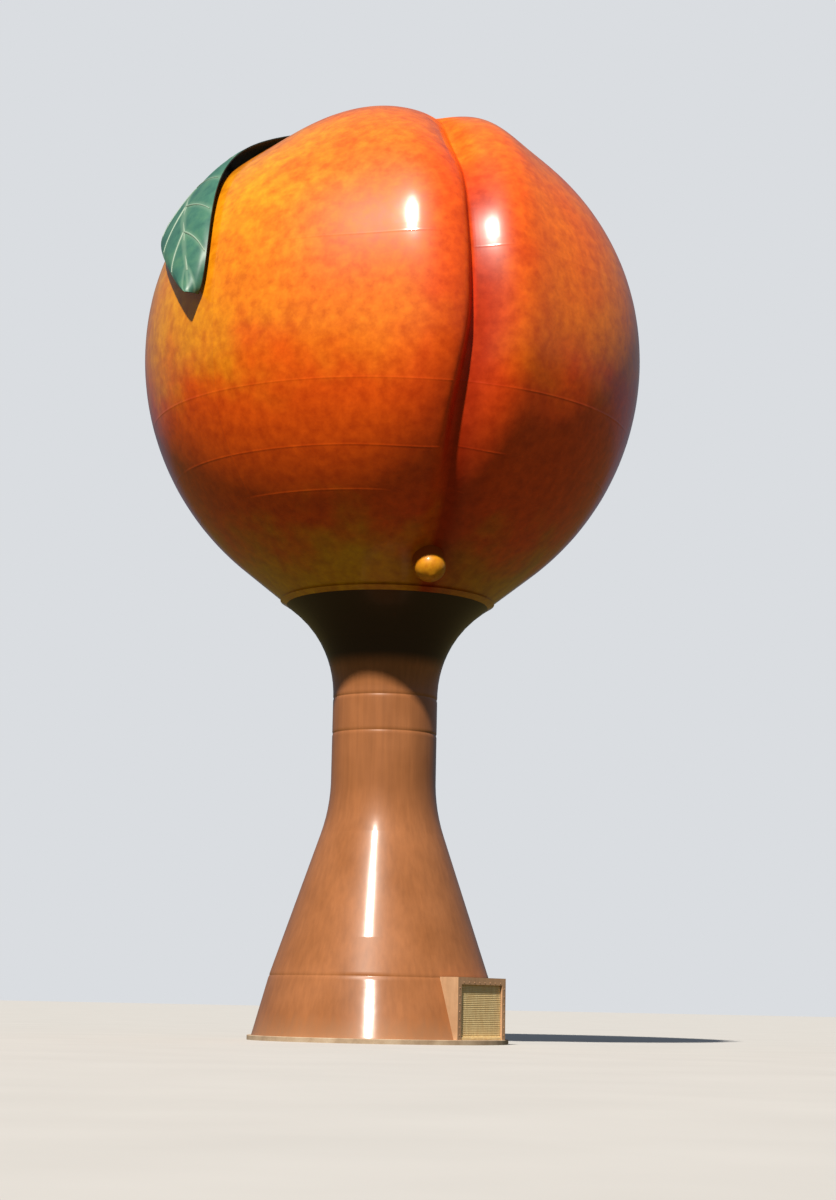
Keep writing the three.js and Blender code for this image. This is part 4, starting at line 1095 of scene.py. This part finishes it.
# %% Leaf paint
leaf_paint, tree, place = new_material("satin_enamel_leaf_green")
along = add(tree, "Attribute", attribute_name="leaf_along").outputs["Fac"]
across = add(tree, "Attribute", attribute_name="leaf_across").outputs["Fac"]
outwards = add(tree, "Math", [across], operation="ABSOLUTE")
swept_back = add(tree, "Math", [outwards, VEIN_SWEEP], operation="MULTIPLY")
vein_place = add(tree, "Math", [along, swept_back], operation="SUBTRACT")
vein_count = add(tree, "Math", [vein_place, VEIN_PITCH], operation="DIVIDE")
to_vein = add(tree, "Math", [vein_count, 0.5], operation="PINGPONG")
side_vein = add(tree, "MapRange", [to_vein, 0.16, 0.0], **SMOOTH)
middle_vein = add(tree, "MapRange", [outwards, 0.16, 0.03], **SMOOTH)
veined = add(tree, "Math", [side_vein, middle_vein], operation="MAXIMUM")
veined = add(tree, "Math", [veined, 0.55], operation="MULTIPLY")
blotch = add(tree, "TexNoise", {"Vector": place, "Scale": 1 / real(0.9), "Detail": 4.0, "Roughness": 0.6})
green = add(tree, "ValToRGB", {"Fac": blotch}, stops=[(0.35, "#35675B"), (0.5, "#427765"), (0.68, "#528469")])
green = over(tree, veined, green, "#7A9E86")
ripple = add(tree, "Bump", {"Height": blotch, "Strength": 0.3, "Distance": real(0.02)})
finish_material(tree, {"Base Color": green, "Roughness": 0.42, "IOR": 1.5, "Normal": ripple})

leaf_shade_paint, tree, place = new_material("satin_enamel_leaf_underside")
blotch = add(tree, "TexNoise", {"Vector": place, "Scale": 1 / real(0.9), "Detail": 4.0})
dark = add(tree, "ValToRGB", {"Fac": blotch}, stops=[(0.35, "#14201B"), (0.7, "#22322A")])
finish_material(tree, {"Base Color": dark, "Roughness": 0.5, "IOR": 1.5})

vein_paint, tree, place = new_material("satin_enamel_vein_green")
blotch = add(tree, "TexNoise", {"Vector": place, "Scale": 1 / real(0.4), "Detail": 3.0})
pale_green = add(tree, "ValToRGB", {"Fac": blotch}, stops=[(0.3, "#84A18C"), (0.7, "#97AE9B")])
finish_material(tree, {"Base Color": pale_green, "Roughness": 0.45, "IOR": 1.5})
print("leaf paints done")

# %% [markdown]
# The blade swells a little between its side veins, as a quilt does between its seams, and thins
# towards its edge. Its upper faces take the green and all others the dark paint.

# %% Leaf blade
along, across = np.meshgrid(np.linspace(1, 0, 181), np.linspace(-1, 1, 33), indexing="ij")
quilt = np.abs(np.sin(math.pi * (along - VEIN_SWEEP * np.abs(across)) / VEIN_PITCH)) ** 0.6
quilt = quilt * smoothstep(1 - np.abs(across), 0, 0.25) * smoothstep(along, 0, 0.15)
upper = leaf_points(along, across, plate_thickness(across) + real(0.035) * quilt)
under = leaf_points(along, across, np.zeros_like(along))
blade = shell_piece("leaf_skin", upper, under, leaf_paint, "leaf_paint", ["leaf_blade"])
blade.data.materials.append(leaf_shade_paint)
painted = (along.shape[0] - 1) * (along.shape[1] - 1)
blade.data.polygons.foreach_set(
    "material_index", [0 if i < painted else 1 for i in range(len(blade.data.polygons))],
)
for name, values in (("leaf_along", along), ("leaf_across", across)):
    stored = blade.data.attributes.new(name, "FLOAT", "POINT")
    stored.data.foreach_set("value", np.concatenate([values.ravel(), values.ravel()]).astype(np.float32))
print("leaf faces:", len(blade.data.polygons))

# %% [markdown]
# ## Veins
# The midrib and the side veins are half-round bars on the blade. A bar is swept along a path: its
# section is set across the path and upright on the leaf, and it grows thinner as it goes.

# %% Sweeping helper
UPRIGHT = np.array([0.0, 0.0, 1.0])


def sweep(path, normals, section):
    """Vertices and faces of a closed bar. The section gives offsets sideways and outwards a row."""
    along = np.gradient(path, axis=0)
    along /= np.linalg.norm(along, axis=1, keepdims=True)
    sideways = np.cross(along, normals)
    sideways /= np.linalg.norm(sideways, axis=1, keepdims=True)
    upwards = np.cross(sideways, along)
    rings = path[:, None] + sideways[:, None] * section[..., :1] + upwards[:, None] * section[..., 1:]
    rows, count = rings.shape[:2]
    index = np.arange(rows * count).reshape(rows, count)
    turned_on = np.roll(index, -1, axis=1)
    faces = np.stack([index[:-1], turned_on[:-1], turned_on[1:], index[1:]], axis=-1).reshape(-1, 4).tolist()
    faces += [index[0][::-1].tolist(), index[-1].tolist()]
    return rings.reshape(-1, 3), faces


def joined(parts):
    """Several vertex and face lists as one."""
    vertices, faces, count = [], [], 0
    for part_vertices, part_faces in parts:
        vertices.append(part_vertices)
        faces += [[corner + count for corner in face] for face in part_faces]
        count += len(part_vertices)
    return np.concatenate(vertices), faces


def half_round(width, height, sunk, points=9):
    """A half-round section for each row, with its flat side sunk under the surface."""
    turn = np.linspace(0, math.pi, points)
    arch = np.stack([np.cos(turn), np.sin(turn)], axis=-1)
    section = arch * np.stack([width, height], axis=-1)[:, None]
    foot = np.array([[[-1.0, 0.0], [1.0, 0.0]]]) * width[:, None, None] + np.array([0.0, -sunk])
    return np.concatenate([section, foot], axis=1)


print("sweeping helper ready")

# %% Midrib and side veins
step = np.linspace(1 / 16, 15 / 16, 120)
thin = 1 - 0.6 * step
rib_width = np.minimum(real(0.14) * thin, 0.8 * leaf_half_width(step))
rib_path = leaf_points(step, np.zeros_like(step), np.full_like(step, LEAF_PLATE))
rib = sweep(rib_path, leaf_direction(step), half_round(rib_width, real(0.06) * thin, real(0.03)))
make_piece("midrib_bar", rib[0], rib[1], vein_paint, ["leaf_midrib"], sharp=50)

veins = []
for count in range(1, 8):
    for side in (-1.0, 1.0):
        going = np.linspace(0.0, 1.0, 24)
        outwards = 0.02 + 0.9 * going
        vein_along = VEIN_PITCH * count + VEIN_SWEEP * outwards
        inside = vein_along < 0.97
        going, outwards, vein_along = going[inside], outwards[inside], vein_along[inside]
        path = leaf_points(vein_along, side * outwards, plate_thickness(outwards))
        section = half_round(real(0.055) * (1 - 0.6 * going), real(0.05) * (1 - 0.5 * going), real(0.03), 7)
        veins.append(sweep(path, leaf_direction(vein_along), section))
vein_vertices, vein_faces = joined(veins)
make_piece("side_vein_bars", vein_vertices, vein_faces, vein_paint, sharp=50)
print(len(veins), "side veins")

# %% [markdown]
# ## Stalk and brackets
# A round stalk leads from the stem to the blade, and two short posts with round pads hold the blade
# off the tank's skin.

# %% Stalk
stalk_end = leaf_points(np.array([0.0]), np.array([0.0]), np.array([LEAF_PLATE / 2]))[0]
leaf_way = leaf_direction(np.array(0.01)) - leaf_direction(np.array(-0.01))
leaf_way /= np.linalg.norm(leaf_way)
stalk_start = np.array([cavity_centre[0], cavity_centre[1], stalk_end[2] - real(0.35)])
controls = [
    stalk_start,
    stalk_start + (stalk_end - stalk_start) / 3 + np.array([0, 0, real(0.15)]),
    stalk_end - leaf_way * real(0.5),
    stalk_end + leaf_way * real(0.05),
]
going = np.linspace(0.12, 1, 40)[:, None]
path = on_curve(controls, going)
ring = circle(24, real(0.16))
taper = (1.12 - 0.25 * going)[:, None]
stalk_vertices, stalk_faces = sweep(path, UPRIGHT, ring * taper)
make_piece("stalk_bar", stalk_vertices, stalk_faces, stem_paint, ["leaf_stalk"], sharp=50)
print("stalk", round(float(np.linalg.norm(np.diff(path, axis=0), axis=1).sum()), 3), "m long")

# %% Brackets
for name, place_along in (("upper", 0.42), ("lower", 0.76)):
    direction = leaf_direction(np.array(place_along))
    skin_point = direction * TANK_RADIUS + tank_centre
    angle = math.acos(float(direction[2]))
    foot = TANK_RADIUS + float(relief(skin_point, np.array(angle)))
    head = TANK_RADIUS + float(leaf_stand_off(place_along, 0.0))
    profile = [
        (0.0, foot - real(0.07)), (real(0.24), foot - real(0.07)), (real(0.24), foot + real(0.025)),
        (real(0.23), foot + real(0.035)), (real(0.13), foot + real(0.04)), (real(0.11), foot + real(0.07)),
        (real(0.11), head - real(0.07)), (real(0.13), head - real(0.04)), (real(0.2), head - real(0.035)),
        (real(0.2), head + real(0.01)), (0.0, head + real(0.01)),
    ]
    turned(
        f"bracket_post_{name}", profile, 32, stem_paint, [f"leaf_bracket_{name}"],
        move=stand(direction, tank_centre),
    )
print("two brackets")

# %% [markdown]
# ## Portal
# At the right of the base a box of flat plate is built out to an upright front, with a roller shutter
# in it. It is painted a lighter tan in satin enamel, and the shutter a pale cream. Part of the cream's
# paleness is painted light: the shutter faces away from the key lamp, so it is painted lighter to make
# up for that. The solid model's plates have the right shape, so they stay, with their arrises eased
# by a small bevel and the new paint put on them.

# %% Portal paint
portal_paint, tree, place = new_material("satin_enamel_tan")
upright = add(tree, "Mapping", {"Vector": place, "Scale": (1.0, 1.0, 0.1)})
streaks = add(tree, "TexNoise", {"Vector": upright, "Scale": 1 / real(0.15), "Detail": 3.0})
cloud = add(tree, "TexNoise", {"Vector": place, "Scale": 1 / real(0.8), "Detail": 3.0})
tan = add(tree, "ValToRGB", {"Fac": cloud}, stops=[(0.35, "#BE946F"), (0.65, "#CCA27C")])
streaked = add(tree, "MapRange", [streaks, 0.3, 0.7, 0.9, 1.05])
tan = add(tree, "VectorMath", {"Vector": tan, "Scale": streaked}, operation="SCALE")
grain = add(tree, "Bump", {"Height": cloud, "Strength": 0.2, "Distance": real(0.01)})
finish_material(tree, {"Base Color": tan, "Roughness": 0.45, "IOR": 1.5, "Normal": grain})

shutter_paint, tree, place = new_material("satin_enamel_cream_painted_light")
upright = add(tree, "Mapping", {"Vector": place, "Scale": (1.0, 1.0, 0.2)})
streaks = add(tree, "TexNoise", {"Vector": upright, "Scale": 1 / real(0.12), "Detail": 3.0})
# Partly painted light: the cream is made paler to make up for the light the shutter faces away from.
cream_with_painted_light = add(tree, "ValToRGB", {"Fac": streaks}, stops=[(0.35, "#EACC92"), (0.65, "#F6DEA6")])
finish_material(tree, {"Base Color": cream_with_painted_light, "Roughness": 0.5, "IOR": 1.5})

for name in ("portal_hood", "portal_frame"):
    eased = repaint(name, portal_paint).modifiers.new("eased_arris", "BEVEL")
    eased.width = real(0.006)
    eased.segments = 2
    eased.limit_method = "ANGLE"
print("portal painted")

# %% [markdown]
# The shutter is a curtain of rolled slats, 76 mm high, hooked into each other. Each slat is a shallow
# arch with a groove above it, and the curtain ends in a stiff bottom rail with two lift handles.

# %% Shutter
FRAME_FACE, FRAME_BACK = real(5.24), real(5.16)
DOOR_HALF_WIDTH, DOOR_TOP = real(1.57), real(2.45)
CURTAIN_HALF_WIDTH, CURTAIN_RAISED = real(1.67), real(0.09)
SLAT = real(0.076)
SLAT_ARCH = [(0.08, 0.0), (0.13, 0.45), (0.3, 0.85), (0.54, 1.0), (0.78, 0.85), (0.95, 0.45), (1.0, 0.0)]


def face_portal(vertices):
    """Points drawn facing -Y, turned to the portal's azimuth."""
    turn = np.array(Matrix.Rotation(PORTAL_AZIMUTH, 3, "Z"))
    return np.asarray(vertices) @ turn.T


curtain_low, curtain_high = CURB_HEIGHT + CURTAIN_RAISED, DOOR_TOP + CURTAIN_RAISED
slats = int((curtain_high - curtain_low) / SLAT)
levels, stand_out = [curtain_low], [0.0]
for slat in range(slats):
    for part, arch in SLAT_ARCH:
        levels.append(curtain_low + SLAT * (slat + part))
        stand_out.append(arch)
levels, stand_out = np.array(levels), np.array(stand_out)
x, z = np.meshgrid([-CURTAIN_HALF_WIDTH, CURTAIN_HALF_WIDTH], levels)
front = -(FRAME_BACK - real(0.03) + real(0.014) * stand_out)[:, None] * np.ones((1, 2))
back = np.full_like(front, -(FRAME_BACK - real(0.045)))
shell_piece(
    "shutter_curtain", face_portal(np.stack([x, front, z], axis=-1)),
    face_portal(np.stack([x, back, z], axis=-1)), shutter_paint, "shutter_paint", ["roller_shutter"],
)
print(slats, "slats")

# %% Bottom rail, handles and bolts
def box_bar(low, high, ease):
    """A bar with eased edges along X, from its lowest to its highest corner."""
    (x0, y0, z0), (x1, y1, z1) = low, high
    loop = [
        (y0 + ease, z0), (y1 - ease, z0), (y1, z0 + ease), (y1, z1 - ease),
        (y1 - ease, z1), (y0 + ease, z1), (y0, z1 - ease), (y0, z0 + ease),
    ]
    vertices = np.array([(x, y, z) for x in (x0, x1) for y, z in loop])
    faces = [[i, (i + 1) % 8, 8 + (i + 1) % 8, 8 + i] for i in range(8)]
    return vertices, faces + [list(range(7, -1, -1)), list(range(8, 16))]


def hex_bolt(x, z):
    """A hexagon bolt head on a round washer, on the portal's front face."""
    parts = []
    for count, *sizes in ((16, 0.03, 0.0, 0.004), (6, 0.021, 0.004, 0.015)):
        radius, start, height = (real(size) for size in sizes)
        rows = np.array([0.0, 0.75, 1.0])
        path = np.stack([np.full(3, x), -(FRAME_FACE + start + rows * height), np.full(3, z)], axis=-1)
        section = circle(count, radius) * np.array([1.0, 1.0, 0.86])[:, None, None]
        parts.append(sweep(path, UPRIGHT, section))
    return joined(parts)


rail = box_bar(
    (-DOOR_HALF_WIDTH + real(0.01), -(FRAME_BACK + real(0.04)), CURB_HEIGHT + real(0.01)),
    (DOOR_HALF_WIDTH - real(0.01), -(FRAME_BACK - real(0.04)), CURB_HEIGHT + real(0.12)), real(0.008),
)
handles = []
for x in (-real(0.6), real(0.6)):
    bow = np.linspace(0, math.pi, 15)
    path = np.stack([
        x + real(0.09) * np.cos(bow), -(FRAME_BACK + real(0.03) + real(0.045) * np.sin(bow) ** 0.5),
        np.full(15, CURB_HEIGHT + real(0.075)),
    ], axis=-1)
    handles.append(sweep(path, UPRIGHT, circle(12, real(0.008))))
rail_vertices, rail_faces = joined([rail, *handles])
make_piece("shutter_bottom_rail", face_portal(rail_vertices), rail_faces, shutter_paint)

BOLTS_ASIDE, BOLTS_ABOVE = real(1.7), real(2.535)
bolts = [hex_bolt(side * BOLTS_ASIDE, z) for side in (-1, 1) for z in np.linspace(real(0.4), real(2.3), 7)]
bolts += [hex_bolt(x, BOLTS_ABOVE) for x in np.linspace(-real(1.4), real(1.4), 8)]
bolt_vertices, bolt_faces = joined(bolts)
make_piece("frame_bolts", face_portal(bolt_vertices), bolt_faces, portal_paint)
print(len(bolts), "bolts")
